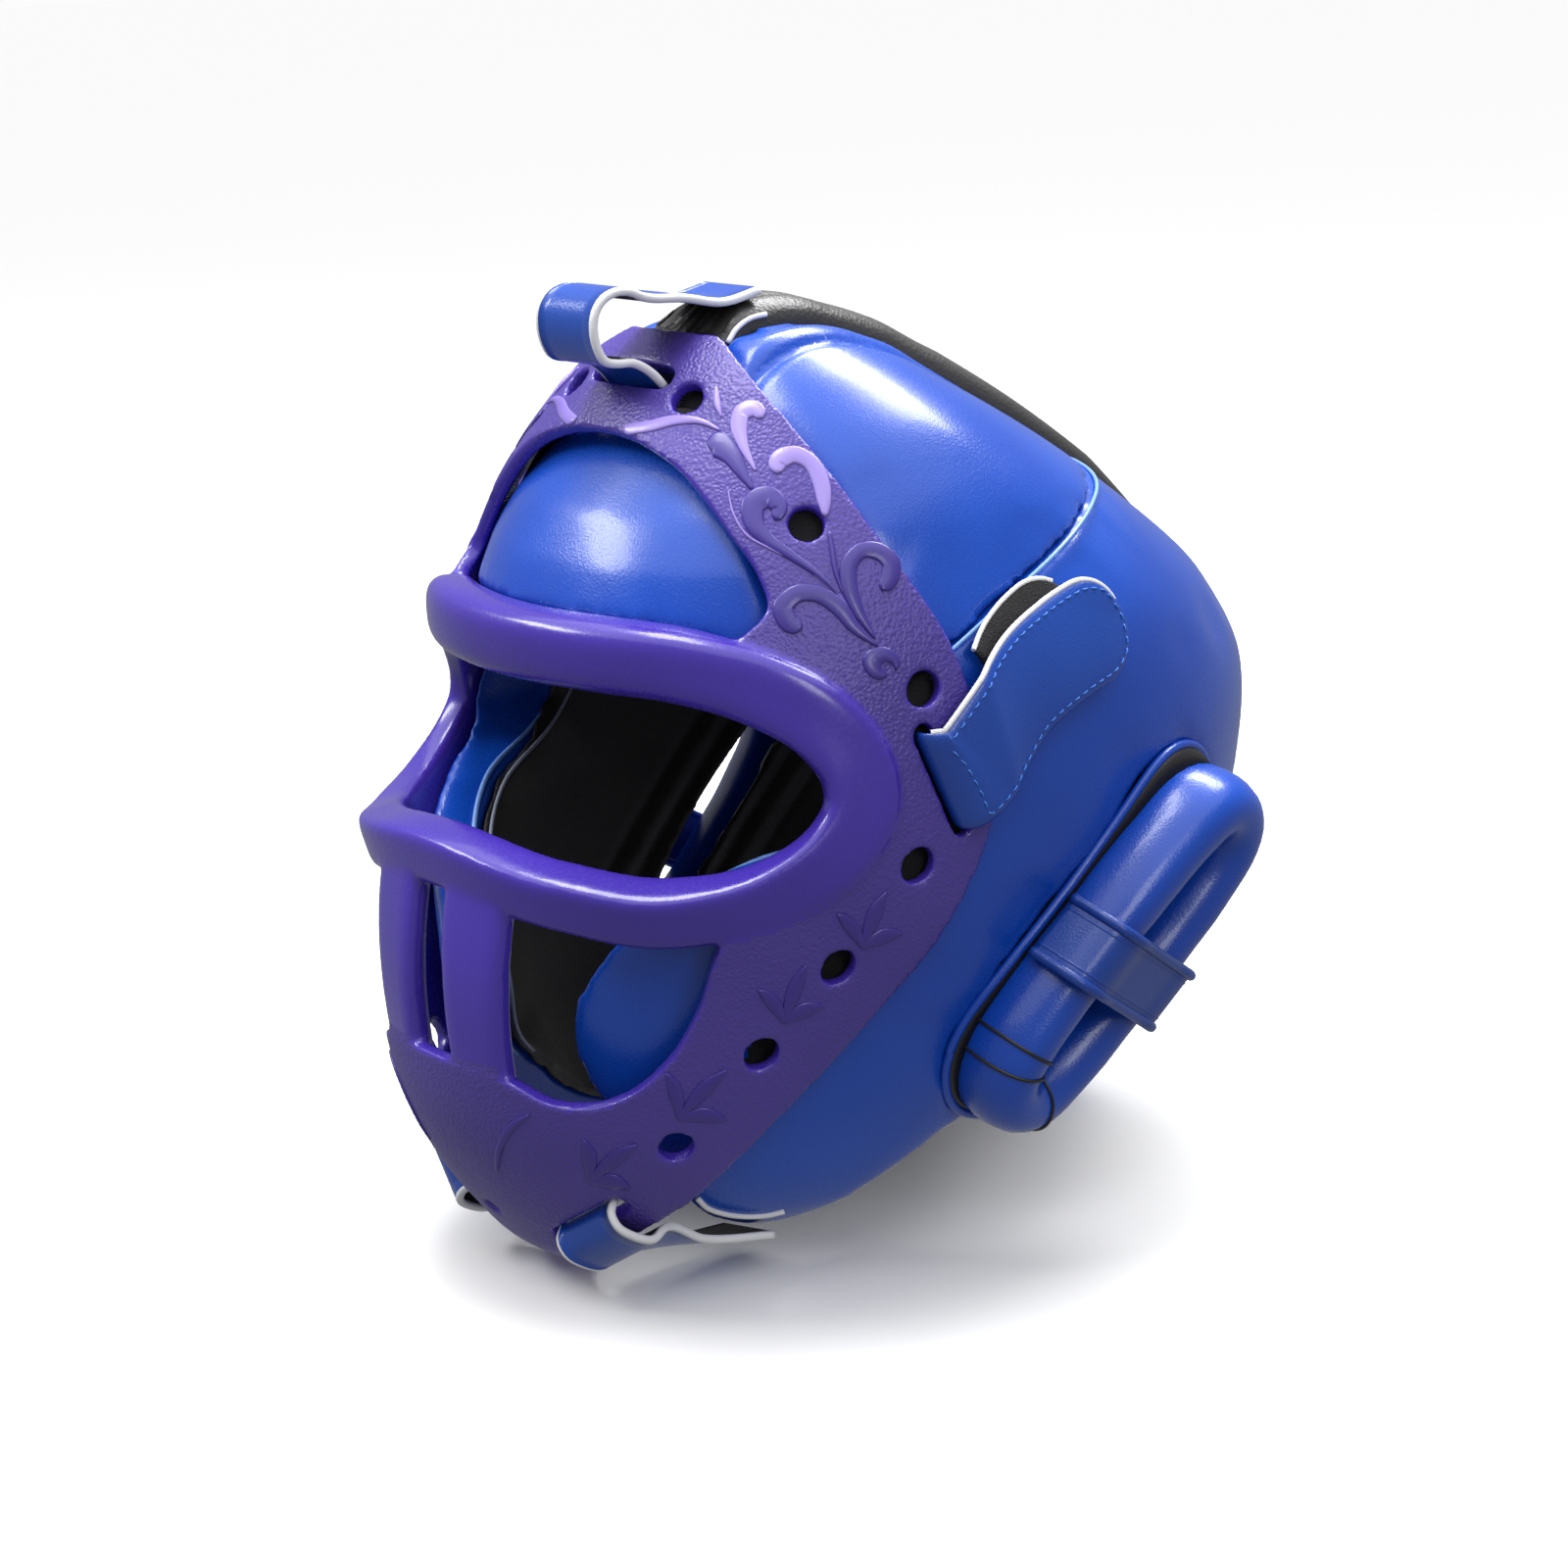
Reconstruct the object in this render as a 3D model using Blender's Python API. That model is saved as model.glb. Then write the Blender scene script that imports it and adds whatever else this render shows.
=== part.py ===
# Sparring headgear with a moulded face shield: padded shell, mask, ear rings and fixing straps.
# Metres, +Z up. X = 0 is the median plane, the face looks along -Y, +X is the wearer's left.
# It lies as it rests on a table: on the chin of the mask and on the flat end of the nape pad.
import math
from collections import namedtuple

import bmesh
import bpy
import numpy as np
from mathutils import Vector
from mathutils.geometry import delaunay_2d_cdt

for old_object in list(bpy.data.objects):
    bpy.data.objects.remove(old_object, do_unlink=True)

# Padded shell
SHELL_HALF_WIDTH = 0.101
SHELL_FRONT = 0.119
SHELL_REAR = 0.153
SHELL_HEIGHT = 0.268
PAD_THICKNESS = 0.014
LINING_THICKNESS = 0.0025
FRONT_SQUARENESS = 2.3
REAR_SQUARENESS = 1.9
SEAM_GAP = 0.0006
FIT_GAP = 0.0004
NAPE_FLOOR = 0.0

# Face mask, which stands off the shell at the sides and reaches forward at the chin
MASK_STANDOFF = 0.003
CHIN_REACH = 0.024
MASK_WALL = 0.0045
STRAP_HOLE_RADIUS = 0.005
CHIN_HOLE_RADIUS = 0.003
EYE_LIP_HEIGHT = 0.0175
EYE_LIP_DEPTH = 0.015
BAR_WIDTH = 0.024
BAR_DEPTH = 0.008
BAR_SPACING = 0.038
FOREHEAD_BULGE = 0.006
MASK_HALF_WIDTH = SHELL_HALF_WIDTH + MASK_STANDOFF
MASK_FRONT = SHELL_FRONT + CHIN_REACH

# Crown strip, a black padded roll over the median
STRIP_WIDTH = 0.034
STRIP_PROUD = 0.009
STRIP_START = 0.955
STRIP_END = 0.638
# share of its length from the mask, rise in shares of STRIP_PROUD
STRIP_RISE = ((0.0, 0.19), (0.10, 0.44), (0.22, 0.62), (0.26, 0.62), (0.47, 1.0), (0.80, 1.0), (1.0, 0.35))

# Ear rings, padded ovals let into the side panels
EAR_LENGTH = 0.125
EAR_WIDTH = 0.052
EAR_TUBE_WIDTH = 0.0195
EAR_TUBE_HEIGHT = 0.027
EAR_SLOPE = math.radians(43.0)
EAR_END_RADIUS = 0.0125
EAR_STATIONS = 26
EAR_BAND_WIDTH = 0.022
EAR_BAND_THICKNESS = 0.0018
EAR_BAND_PLACE = -0.004
EAR_BAND_SKEW = 0.22
EAR_BAND_DEPTH = 0.003
EAR_SITE = (0.96, 0.175, 0.325)
EAR_OUT = (0.94, 0.12, -0.32)

# Straps
STRAP_THICKNESS = 0.0025
TOP_STRAP_WIDTH = 0.027
SIDE_STRAP_WIDTH = 0.029
LOWER_STRAP_WIDTH = 0.026
UNDER_FLAP_THICKNESS = 0.0018
TOP_LOOP_RISE = 0.012

Form = namedtuple("Form", "height half_width front rear rows")

# height, half_width, front, rear, widest: shares of the shell's sizes, widest in shares of the rear
SHELL_SECTIONS = (
    (-0.04, 0.40, 0.50, 0.54, 0.10),
    (0.000, 0.515, 0.62, 0.60, 0.10),
    (0.075, 0.69, 0.82, 0.685, 0.09),
    (0.187, 0.85, 0.96, 0.805, 0.105),
    (0.317, 0.95, 1.00, 0.92, 0.13),
    (0.448, 1.00, 0.99, 0.995, 0.155),
    (0.560, 1.00, 0.95, 1.00, 0.17),
    (0.653, 0.96, 0.87, 0.895, 0.145),
    (0.746, 0.87, 0.765, 0.70, 0.09),
    (0.840, 0.73, 0.63, 0.465, 0.025),
    (0.914, 0.555, 0.50, 0.25, -0.04),
    (0.959, 0.375, 0.405, 0.12, -0.09),
    (0.989, 0.20, 0.30, -0.015, -0.12),
    (1.000, 0.06, 0.20, -0.09, -0.125),
)
SHELL = Form(SHELL_HEIGHT, SHELL_HALF_WIDTH, SHELL_FRONT, SHELL_REAR, SHELL_SECTIONS)

# The same columns for the mask's outer face
MASK_SECTIONS = (
    (0.000, 0.36, 0.69, 0.40, 0.10),
    (0.030, 0.53, 0.785, 0.42, 0.10),
    (0.082, 0.67, 0.867, 0.48, 0.10),
    (0.168, 0.80, 0.955, 0.55, 0.105),
    (0.300, 0.925, 1.00, 0.62, 0.13),
    (0.448, 1.00, 0.98, 0.68, 0.155),
    (0.597, 0.99, 0.88, 0.70, 0.155),
    (0.709, 0.933, 0.755, 0.66, 0.13),
    (0.802, 0.817, 0.635, 0.58, 0.08),
    (0.896, 0.644, 0.500, 0.42, 0.013),
    (0.963, 0.46, 0.378, 0.24, -0.052),
    (1.000, 0.29, 0.28, 0.10, -0.092),
)
MASK = Form(SHELL_HEIGHT, MASK_HALF_WIDTH, MASK_FRONT, SHELL_REAR, MASK_SECTIONS)

# turn in degrees from the front, height share: half of the mask's rim, from the apex to the chin
MASK_RIM = (
    (0, 0.992), (18, 0.991), (34, 0.984), (44, 0.955), (53, 0.914), (60, 0.862), (65, 0.805), (72, 0.698),
    (75.5, 0.59), (77, 0.53), (75.5, 0.475), (71.5, 0.395), (65, 0.32), (56, 0.23), (43, 0.130),
    (33, 0.088), (23, 0.058), (15, 0.024), (8, 0.002), (0, 0.0),
)
FOREHEAD_OPENING = (
    (0, 0.903), (14, 0.895), (27, 0.870), (38, 0.820), (44.5, 0.775), (46, 0.748), (43, 0.728), (24, 0.720),
    (0, 0.721),
)
FACE_OPENING = (
    (0, 0.706), (20, 0.705), (35, 0.695), (47, 0.672), (56, 0.635), (60.5, 0.588), (61, 0.545), (57.5, 0.505),
    (50, 0.468), (45.5, 0.425), (43.5, 0.360), (40, 0.305), (35, 0.272), (29, 0.258), (22, 0.262), (17, 0.277),
    (0, 0.290),
)
# turn, height share of each strap hole
STRAP_HOLES = ((23.5, 0.936), (53, 0.821), (68, 0.656), (68, 0.481), (60, 0.388), (52, 0.304), (41.5, 0.205))
CHIN_HOLE = (0, 0.095)
# turn, height share, length, width and lean of the slots that the straps pass through
Slot = namedtuple("Slot", "turn height length width lean")
SIDE_SLOT = Slot(70.5, 0.562, 0.036, 0.0062, math.radians(-26))
LOWER_SLOT = Slot(23.5, 0.105, 0.033, 0.0066, math.radians(52))
TOP_SLOT = Slot(0.0, 0.952, 0.034, 0.0080, math.radians(90))

# turn, height share, depth and width shares: half of the rolled lip round the eyes, brow to lower bar
EYE_LIP = (
    (0, 0.714, 1.15, 1.15), (18, 0.713, 1.15, 1.15), (34, 0.702, 1.05, 1.15), (46, 0.676, 0.85, 1.15),
    (55, 0.637, 0.65, 1.15), (60, 0.590, 0.60, 1.15), (61, 0.548, 0.60, 1.15), (58, 0.505, 0.62, 1.10),
    (51, 0.474, 0.75, 1.0), (40, 0.463, 0.95, 0.95), (22, 0.482, 1.0, 0.90), (0, 0.503, 1.0, 0.90),
)

# reach, height in side view: shares of the shell's front or rear reach, and of its height
CROWN_SEAM = ((-1.1, 0.50), (-0.60, 0.59), (-0.18, 0.687), (0.05, 0.735), (0.33, 0.78), (1.1, 0.80))
SIDE_HEM = (
    (-1.2, 0.36), (-1.00, 0.235), (-0.84, 0.150), (-0.745, 0.093), (-0.64, 0.056), (-0.50, 0.048), (-0.32, 0.093),
    (-0.14, 0.150), (0.12, 0.155), (0.35, 0.21), (0.55, 0.295), (0.75, 0.34), (1.2, 0.36),
)
# width, height in front view: shares of the shell's half width and height, half of the opening for the face
FACE_EDGE = (
    (0.0, 0.925), (0.34, 0.915), (0.56, 0.80), (0.73, 0.675), (0.80, 0.60), (0.81, 0.545), (0.77, 0.510),
    (0.63, 0.485), (0.48, 0.440), (0.37, 0.390), (0.295, 0.340), (0.275, 0.290), (0.31, 0.245), (0.38, 0.190),
    (0.40, 0.10), (0.40, -0.10), (0.0, -0.10),
)
LINING_EDGE = (
    (0.0, 0.700), (0.45, 0.690), (0.66, 0.655), (0.75, 0.60), (0.765, 0.545), (0.73, 0.505), (0.60, 0.475),
    (0.45, 0.430), (0.34, 0.385), (0.26, 0.335), (0.24, 0.290), (0.28, 0.245), (0.36, 0.190), (0.40, 0.10),
    (0.40, -0.10), (0.0, -0.10),
)
# the same shares in rear view: half of the nape and back pad
BACK_EDGE = (
    (0.0, -0.10), (0.21, -0.10), (0.22, 0.05), (0.27, 0.20), (0.38, 0.36), (0.43, 0.50), (0.40, 0.59), (0.0, 0.60),
)

# reach, height in side view of the side strap's middle line, from the slot to its round end
SIDE_STRAP_LINE = ((-0.215, 0.580), (-0.15, 0.605), (-0.07, 0.634), (0.065, 0.661), (0.20, 0.676))
# lower strap from its slot round the mask's rim, in strap thicknesses: across the slot and out of the mask
LOWER_STRAP_TURN = ((0.2, -1.6), (0.2, 0.5), (1.2, 1.45), (3.8, 1.55), (6.3, 0.6), (7.5, -1.6))
# its way on to the rear: place in shares of the shell's sizes, and the way its width lies
LOWER_STRAP_REST = (((0.36, -0.74, 0.050), (0.93, 0.05, 0.36)), ((0.395, -0.55, 0.038), (0.98, 0.0, 0.20)))
UNDER_FLAP_LINE = ((-0.10, 0.642), (-0.03, 0.665), (0.05, 0.684), (0.13, 0.700))


def new_object(name, vertices, faces):
    """Closed mesh object; its faces are turned outward, and flat, so that the cuts are exact."""
    mesh = bpy.data.meshes.new(name)
    mesh.from_pydata([tuple(v) for v in vertices], [], faces)
    work = bmesh.new()
    work.from_mesh(mesh)
    bmesh.ops.recalc_face_normals(work, faces=work.faces)
    bmesh.ops.triangulate(work, faces=work.faces)
    work.to_mesh(mesh)
    work.free()
    made = bpy.data.objects.new(name, mesh)
    bpy.context.collection.objects.link(made)
    return made


def paint(made, color, roughness):
    material = bpy.data.materials.new(made.name + "_finish")
    material.use_nodes = True
    shader = material.node_tree.nodes["Principled BSDF"]
    shader.inputs["Base Color"].default_value = (*color, 1.0)
    shader.inputs["Roughness"].default_value = roughness
    shader.inputs["Metallic"].default_value = 0.0
    made.data.materials.append(material)
    made.data.shade_smooth()
    made.data.set_sharp_from_angle(angle=math.radians(40))


def cutter(made):
    made.hide_render = True
    made.display_type = "WIRE"
    return made


def boolean(made, tool, operation):
    step = made.modifiers.new(operation.lower() + "_" + tool.name, "BOOLEAN")
    step.operation = operation
    step.solver = "EXACT"
    step.object = tool


def section(form, share):
    """Half width, front, rear and widest place of a form at a share of its height, smoothly blended."""
    rows = np.array(form.rows)
    heights = rows[:, 0]
    slopes = np.gradient(rows[:, 1:], heights, axis=0)
    low = int(np.clip(np.searchsorted(heights, share) - 1, 0, len(rows) - 2))
    span = heights[low + 1] - heights[low]
    s = min(max((share - heights[low]) / span, 0.0), 1.0)
    start = (1 + 2 * s) * (1 - s) ** 2 * rows[low, 1:] + s * (1 - s) ** 2 * span * slopes[low]
    end = s * s * (3 - 2 * s) * rows[low + 1, 1:] + s * s * (s - 1) * span * slopes[low + 1]
    half_width, front, rear, widest = start + end
    return half_width * form.half_width, front * form.front, rear * form.rear, widest * form.rear


def form_point(form, turn, share):
    """Point of a form's outer face: turn 0 is the front, 90 degrees the wearer's left, 180 the rear."""
    half_width, front, rear, widest = section(form, share)
    sine, cosine = math.sin(turn), math.cos(turn)
    squareness = FRONT_SQUARENESS if cosine >= 0 else REAR_SQUARENESS
    x = half_width * math.copysign(abs(sine) ** (2 / squareness), sine)
    reach = front + widest if cosine >= 0 else rear - widest
    y = widest - reach * math.copysign(abs(cosine) ** (2 / squareness), cosine)
    return np.array((x, y, share * form.height))


def form_normal(form, turn, share):
    step_turn, step_share = 0.02, 0.004
    along = form_point(form, turn + step_turn, share) - form_point(form, turn - step_turn, share)
    high, low = min(share + step_share, 1.0), max(share - step_share, form.rows[0][0])
    up = form_point(form, turn, high) - form_point(form, turn, low)
    normal = np.cross(along, up)
    return normal / np.linalg.norm(normal)


def side_reach(form, y, z):
    """Half width of a form's outer face at a place in side view."""
    half_width, front, rear, widest = section(form, z / form.height)
    ahead = y < widest
    reach = front + widest if ahead else rear - widest
    squareness = FRONT_SQUARENESS if ahead else REAR_SQUARENESS
    inside = max(1.0 - (abs(y - widest) / reach) ** squareness, 0.0)
    return half_width * inside ** (1 / squareness)


def side_place(reach, height):
    """Side-view place from shares of the shell's reach and height."""
    return np.array((reach * (SHELL_FRONT if reach < 0 else SHELL_REAR), height * SHELL_HEIGHT))


def smooth_line(points, step, closed=False):
    """Evenly spaced points on a smooth curve through the given ones."""
    points = np.array(points, dtype=float)
    if closed:
        points = np.vstack((points[-3:], points, points[:3]))
    lengths = np.linalg.norm(np.diff(points, axis=0), axis=1)
    places = np.concatenate(((0.0,), np.cumsum(lengths)))
    slopes = np.gradient(points, places, axis=0)
    first, last = (places[3], places[-3]) if closed else (places[0], places[-1])
    count = max(int(round((last - first) / step)), 2)
    wanted = np.linspace(first, last, count + 1)[: count if closed else count + 1]
    result = []
    for place in wanted:
        low = int(np.clip(np.searchsorted(places, place) - 1, 0, len(places) - 2))
        span = places[low + 1] - places[low]
        s = (place - places[low]) / span
        start = (1 + 2 * s) * (1 - s) ** 2 * points[low] + s * (1 - s) ** 2 * span * slopes[low]
        end = s * s * (3 - 2 * s) * points[low + 1] + s * s * (s - 1) * span * slopes[low + 1]
        result.append(start + end)
    return np.array(result)


def mirrored(half):
    """Closed outline from its half, whose first and last points lie on the median."""
    left = [tuple(row) for row in half]
    right = [(-row[0], *row[1:]) for row in half[-2:0:-1]]
    return left + right


def prism(name, outline, axis, low, high):
    """Straight cutter with a flat outline, along X from a side view or along Y from a front view."""
    count = len(outline)
    if axis == "X":
        vertices = [(level, a, b) for level in (low, high) for a, b in outline]
    else:
        vertices = [(a, level, b) for level in (low, high) for a, b in outline]
    faces = [tuple(range(count)), tuple(range(2 * count - 1, count - 1, -1))]
    faces += [(i, (i + 1) % count, (i + 1) % count + count, i + count) for i in range(count)]
    return cutter(new_object(name, vertices, faces))


def layered_shell(name, outer_inset, inner_inset, columns=24, rows=8):
    """Whole padded dome between two insets of the shell's outer face, open below."""
    turns = [2 * math.pi * i / columns for i in range(columns)]
    shares = np.concatenate((np.linspace(-0.04, 0.80, rows), (0.865, 0.915, 0.95, 0.98, 0.997)))
    vertices = []
    for inset in (outer_inset, inner_inset):
        for share in shares:
            vertices += [form_point(SHELL, t, share) - inset * form_normal(SHELL, t, share) for t in turns]
        top = form_point(SHELL, 0.0, 1.0)
        vertices.append((0.0, section(SHELL, 1.0)[3], top[2] - inset))
    rows = len(shares)
    layer = columns * rows + 1
    faces = []
    for side in range(2):
        base = side * layer
        for row in range(rows - 1):
            for i in range(columns):
                j = (i + 1) % columns
                lower, upper = base + row * columns, base + (row + 1) * columns
                quad = (lower + i, lower + j, upper + j, upper + i)
                faces.append(quad if side == 0 else quad[::-1])
        ring = base + (rows - 1) * columns
        for i in range(columns):
            cap = (ring + i, ring + (i + 1) % columns, base + layer - 1)
            faces.append(cap if side == 0 else cap[::-1])
    faces += [(i, layer + i, layer + (i + 1) % columns, (i + 1) % columns) for i in range(columns)]
    return new_object(name, vertices, faces)


def inside(point, loop):
    """True where a flat point lies inside a closed flat loop."""
    x, y = point
    hit = False
    for (x0, y0), (x1, y1) in zip(loop, np.roll(loop, -1, axis=0)):
        if (y0 > y) != (y1 > y) and x < (x1 - x0) * (y - y0) / (y1 - y0) + x0:
            hit = not hit
    return hit


def clear_of(point, loop, distance):
    return np.min(np.linalg.norm(loop - np.array(point), axis=1)) > distance


MAP_SCALE = 1.8 / math.radians(1) * 0.001


def map_loop(rows, step=0.0085):
    """Outline rows of turn and height share as an even loop in the mask's flat map, in metres."""
    points = [(math.radians(turn) * MAP_SCALE, share * SHELL_HEIGHT) for turn, share in rows]
    return smooth_line(points, step, closed=True)


def map_circle(turn, share, radius, sides):
    """Round hole in the flat map, stretched so that it is round on the mask."""
    return map_slot(Slot(turn, share, 2 * radius, 2 * radius, 0.0), sides)


def map_slot(slot, sides=12):
    """Slot with round ends in the flat map, true to size on the mask."""
    turn = math.radians(slot.turn)
    step, wide_step = 0.01, slot.length / 2 / section(MASK, slot.height)[0]
    ends = [form_point(MASK, turn + d, slot.height) for d in (-wide_step, wide_step)]
    up = form_point(MASK, turn, slot.height + step) - form_point(MASK, turn, slot.height - step)
    stretch_across = 2 * wide_step * MAP_SCALE / np.linalg.norm(ends[1] - ends[0])
    stretch_up = 2 * step * SHELL_HEIGHT / np.linalg.norm(up)
    straight = (slot.length - slot.width) / 2
    loop = []
    for i in range(sides):
        angle = 2 * math.pi * (i + 0.5) / sides
        end = math.copysign(straight, math.sin(angle))
        a, b = slot.width / 2 * math.cos(angle), slot.width / 2 * math.sin(angle) + end
        x = a * math.cos(slot.lean) + b * math.sin(slot.lean)
        y = b * math.cos(slot.lean) - a * math.sin(slot.lean)
        loop.append((turn * MAP_SCALE + x * stretch_across, slot.height * SHELL_HEIGHT + y * stretch_up))
    return np.array(loop)


def slot_frame(slot):
    """Middle of a slot on the mask, with the directions along it, out of the mask and across it."""
    turn, step = math.radians(slot.turn), 0.01
    middle = form_point(MASK, turn, slot.height)
    round_way = form_point(MASK, turn + step, slot.height) - middle
    up_way = form_point(MASK, turn, slot.height + step) - middle
    round_way /= np.linalg.norm(round_way)
    up_way /= np.linalg.norm(up_way)
    along = math.sin(slot.lean) * round_way + math.cos(slot.lean) * up_way
    along /= np.linalg.norm(along)
    normal = form_normal(MASK, turn, slot.height)
    return middle, along, normal, np.cross(along, normal)


def plate(name, rim, holes, outer, inner, spacing=0.0145):
    """Curved plate on the mask's form: triangles inside the rim and outside the holes, in two layers."""
    loops = [rim] + holes
    flat = [tuple(p) for loop in loops for p in loop]
    edges = []
    start = 0
    for loop in loops:
        count = len(loop)
        edges += [(start + i, start + (i + 1) % count) for i in range(count)]
        start += count
    low, high = rim.min(axis=0), rim.max(axis=0)
    for row, y in enumerate(np.arange(low[1] + spacing / 2, high[1], spacing * 0.87)):
        for x in np.arange(spacing * (0.5 if row % 2 else 0.0), high[0], spacing):
            for place in ((x, y), (-x, y)) if x > 0 else ((x, y),):
                free = all(clear_of(place, loop, spacing * 0.45) for loop in loops)
                if free and inside(place, rim) and not any(inside(place, hole) for hole in holes):
                    flat.append(place)
    found = delaunay_2d_cdt([Vector(p) for p in flat], edges, [], 0, 1e-6)
    places, triangles = found[0], found[2]
    kept = []
    for triangle in triangles:
        middle = sum((places[i] for i in triangle), Vector((0.0, 0.0))) / len(triangle)
        if inside(middle, rim) and not any(inside(middle, hole) for hole in holes):
            kept.append(tuple(triangle))
    count = len(places)
    vertices = []
    for inset in (outer, inner):
        for x, y in places:
            turn, share = x / MAP_SCALE, min(max(y / SHELL_HEIGHT, 0.0), 1.0)
            vertices.append(form_point(MASK, turn, share) - inset * form_normal(MASK, turn, share))
    faces = list(kept) + [tuple(i + count for i in reversed(t)) for t in kept]
    border = {}
    for triangle in kept:
        for a, b in zip(triangle, triangle[1:] + triangle[:1]):
            border[(a, b)] = border.get((a, b), 0) + 1
    for a, b in border:
        if (b, a) not in border:
            faces.append((b, a, a + count, b + count))
    used = sorted({i for face in faces for i in face})
    index = {old: new for new, old in enumerate(used)}
    return new_object(name, [vertices[i] for i in used], [tuple(index[i] for i in f) for f in faces])


def swept(name, centres, across, out, profile, closed):
    """Solid swept along centres; profile gives (across, out) offsets for each station."""
    count, sides = len(centres), len(profile[0])
    vertices = []
    for centre, side, rise, ring in zip(centres, across, out, profile):
        vertices += [centre + a * side + b * rise for a, b in ring]
    faces = []
    for i in range(count if closed else count - 1):
        j = (i + 1) % count
        for k in range(sides):
            n = (k + 1) % sides
            faces.append((i * sides + k, i * sides + n, j * sides + n, j * sides + k))
    if not closed:
        faces += [tuple(range(sides)), tuple(range((count - 1) * sides, count * sides))]
    return new_object(name, vertices, faces)


def rounded_profile(half_across, half_out, sides, squareness=2.6, shift=0.0):
    ring = []
    for i in range(sides):
        angle = 2 * math.pi * (i + 0.5) / sides
        c, s = math.cos(angle), math.sin(angle)
        a = half_across * math.copysign(abs(c) ** (2 / squareness), c)
        b = half_out * math.copysign(abs(s) ** (2 / squareness), s)
        ring.append((a, b + shift))
    return ring


def eye_lip(name, extra):
    """Rolled lip round the eyes, a closed tube that follows the mask's form; extra grows it."""
    path = []
    for t, h, d, w in mirrored(EYE_LIP):
        path.append((math.radians(t) * MAP_SCALE, h * SHELL_HEIGHT, d * MASK_WALL, w * MASK_WALL))
    path = smooth_line(path, 0.0125, closed=True)
    centres, across, out, profile = [], [], [], []
    for x, y, deep, wide in path:
        turn, share, depth = x / MAP_SCALE, y / SHELL_HEIGHT, deep / MASK_WALL
        normal = form_normal(MASK, turn, share)
        proud = 0.0022
        centres.append(form_point(MASK, turn, share) + (proud - depth * EYE_LIP_DEPTH / 2) * normal)
        out.append(normal)
        half_height = wide / MASK_WALL * EYE_LIP_HEIGHT / 2
        ring = rounded_profile(half_height + extra, depth * EYE_LIP_DEPTH / 2 + extra, 8)
        profile.append(ring)
    centres = np.array(centres)
    along = np.roll(centres, -1, axis=0) - np.roll(centres, 1, axis=0)
    for direction, normal in zip(along, out):
        side = np.cross(direction, normal)
        across.append(side / np.linalg.norm(side))
    return swept(name, centres, across, out, profile, closed=True)


def face_bar(name, side):
    """Upright blade between the lower eye bar and the chin guard."""
    centres, across, out, profile = [], [], [], []
    for share, width in ((0.500, 1.0), (0.44, 1.0), (0.37, 0.93), (0.30, 0.87), (0.255, 0.85)):
        half_width = section(MASK, share)[0]
        turn = math.asin((BAR_SPACING / 2 / half_width) ** (FRONT_SQUARENESS / 2))
        normal = form_normal(MASK, turn, share) * (side, 1, 1)
        place = form_point(MASK, turn, share) * (side, 1, 1)
        centres.append(place - (BAR_DEPTH / 2 + 0.0004) * normal)
        out.append(normal)
        sideways = np.cross(normal, (0, 0, 1.0))
        across.append(sideways / np.linalg.norm(sideways))
        profile.append(rounded_profile(width * BAR_WIDTH / 2, BAR_DEPTH / 2, 8, squareness=3.0))
    return swept(name, centres, across, out, profile, closed=False)


def make_mask():
    """Moulded mask: band with holes and slots, rolled eye lip and two blades, in one piece."""
    rim = map_loop(mirrored(MASK_RIM))
    holes = [map_loop(mirrored(FOREHEAD_OPENING)), map_loop(mirrored(FACE_OPENING))]
    holes.append(map_circle(*CHIN_HOLE, CHIN_HOLE_RADIUS, 6))
    holes.append(map_slot(TOP_SLOT))
    for side in (1, -1):
        holes += [map_circle(t, h, STRAP_HOLE_RADIUS, 9) * (side, 1) for t, h in STRAP_HOLES]
        holes += [map_slot(slot) * (side, 1) for slot in (SIDE_SLOT, LOWER_SLOT)]
    mask = plate("face_mask", rim, holes, 0.0, MASK_WALL)
    boolean(mask, cutter(eye_lip("eye_lip_tool", 0.0)), "UNION")
    for side, label in ((1, "left"), (-1, "right")):
        boolean(mask, cutter(face_bar("face_bar_tool_" + label, side)), "UNION")
    paint(mask, (0.075, 0.045, 0.40), 0.35)


def mask_room():
    """Room that the mask takes, grown by the fit gap; the padding is cut back to it."""
    grow = 3 * FIT_GAP
    rows = []
    for t, h in MASK_RIM:
        above = grow / SHELL_HEIGHT if h > 0.9 else 0.0
        rows.append((t + grow / MASK_HALF_WIDTH / math.radians(1) if t else 0, min(h + above, 1.0)))
    band = cutter(plate("mask_room_band", map_loop(mirrored(rows)), [], -0.012, MASK_WALL + 3 * FIT_GAP))
    boolean(band, cutter(eye_lip("mask_room_lip", 2 * FIT_GAP)), "UNION")
    return band


def ear_frame(side):
    """Centre, long, across and outward directions of an ear ring."""
    centre = np.array(EAR_SITE) * (SHELL_HALF_WIDTH, SHELL_REAR, SHELL_HEIGHT)
    out = np.array(EAR_OUT) / np.linalg.norm(EAR_OUT)
    along = np.array((0.0, math.cos(EAR_SLOPE), math.sin(EAR_SLOPE)))
    along -= along.dot(out) * out
    along /= np.linalg.norm(along)
    across = np.cross(out, along)
    flip = np.array((side, 1, 1))
    return centre * flip, along * flip, across * flip, out * flip


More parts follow.
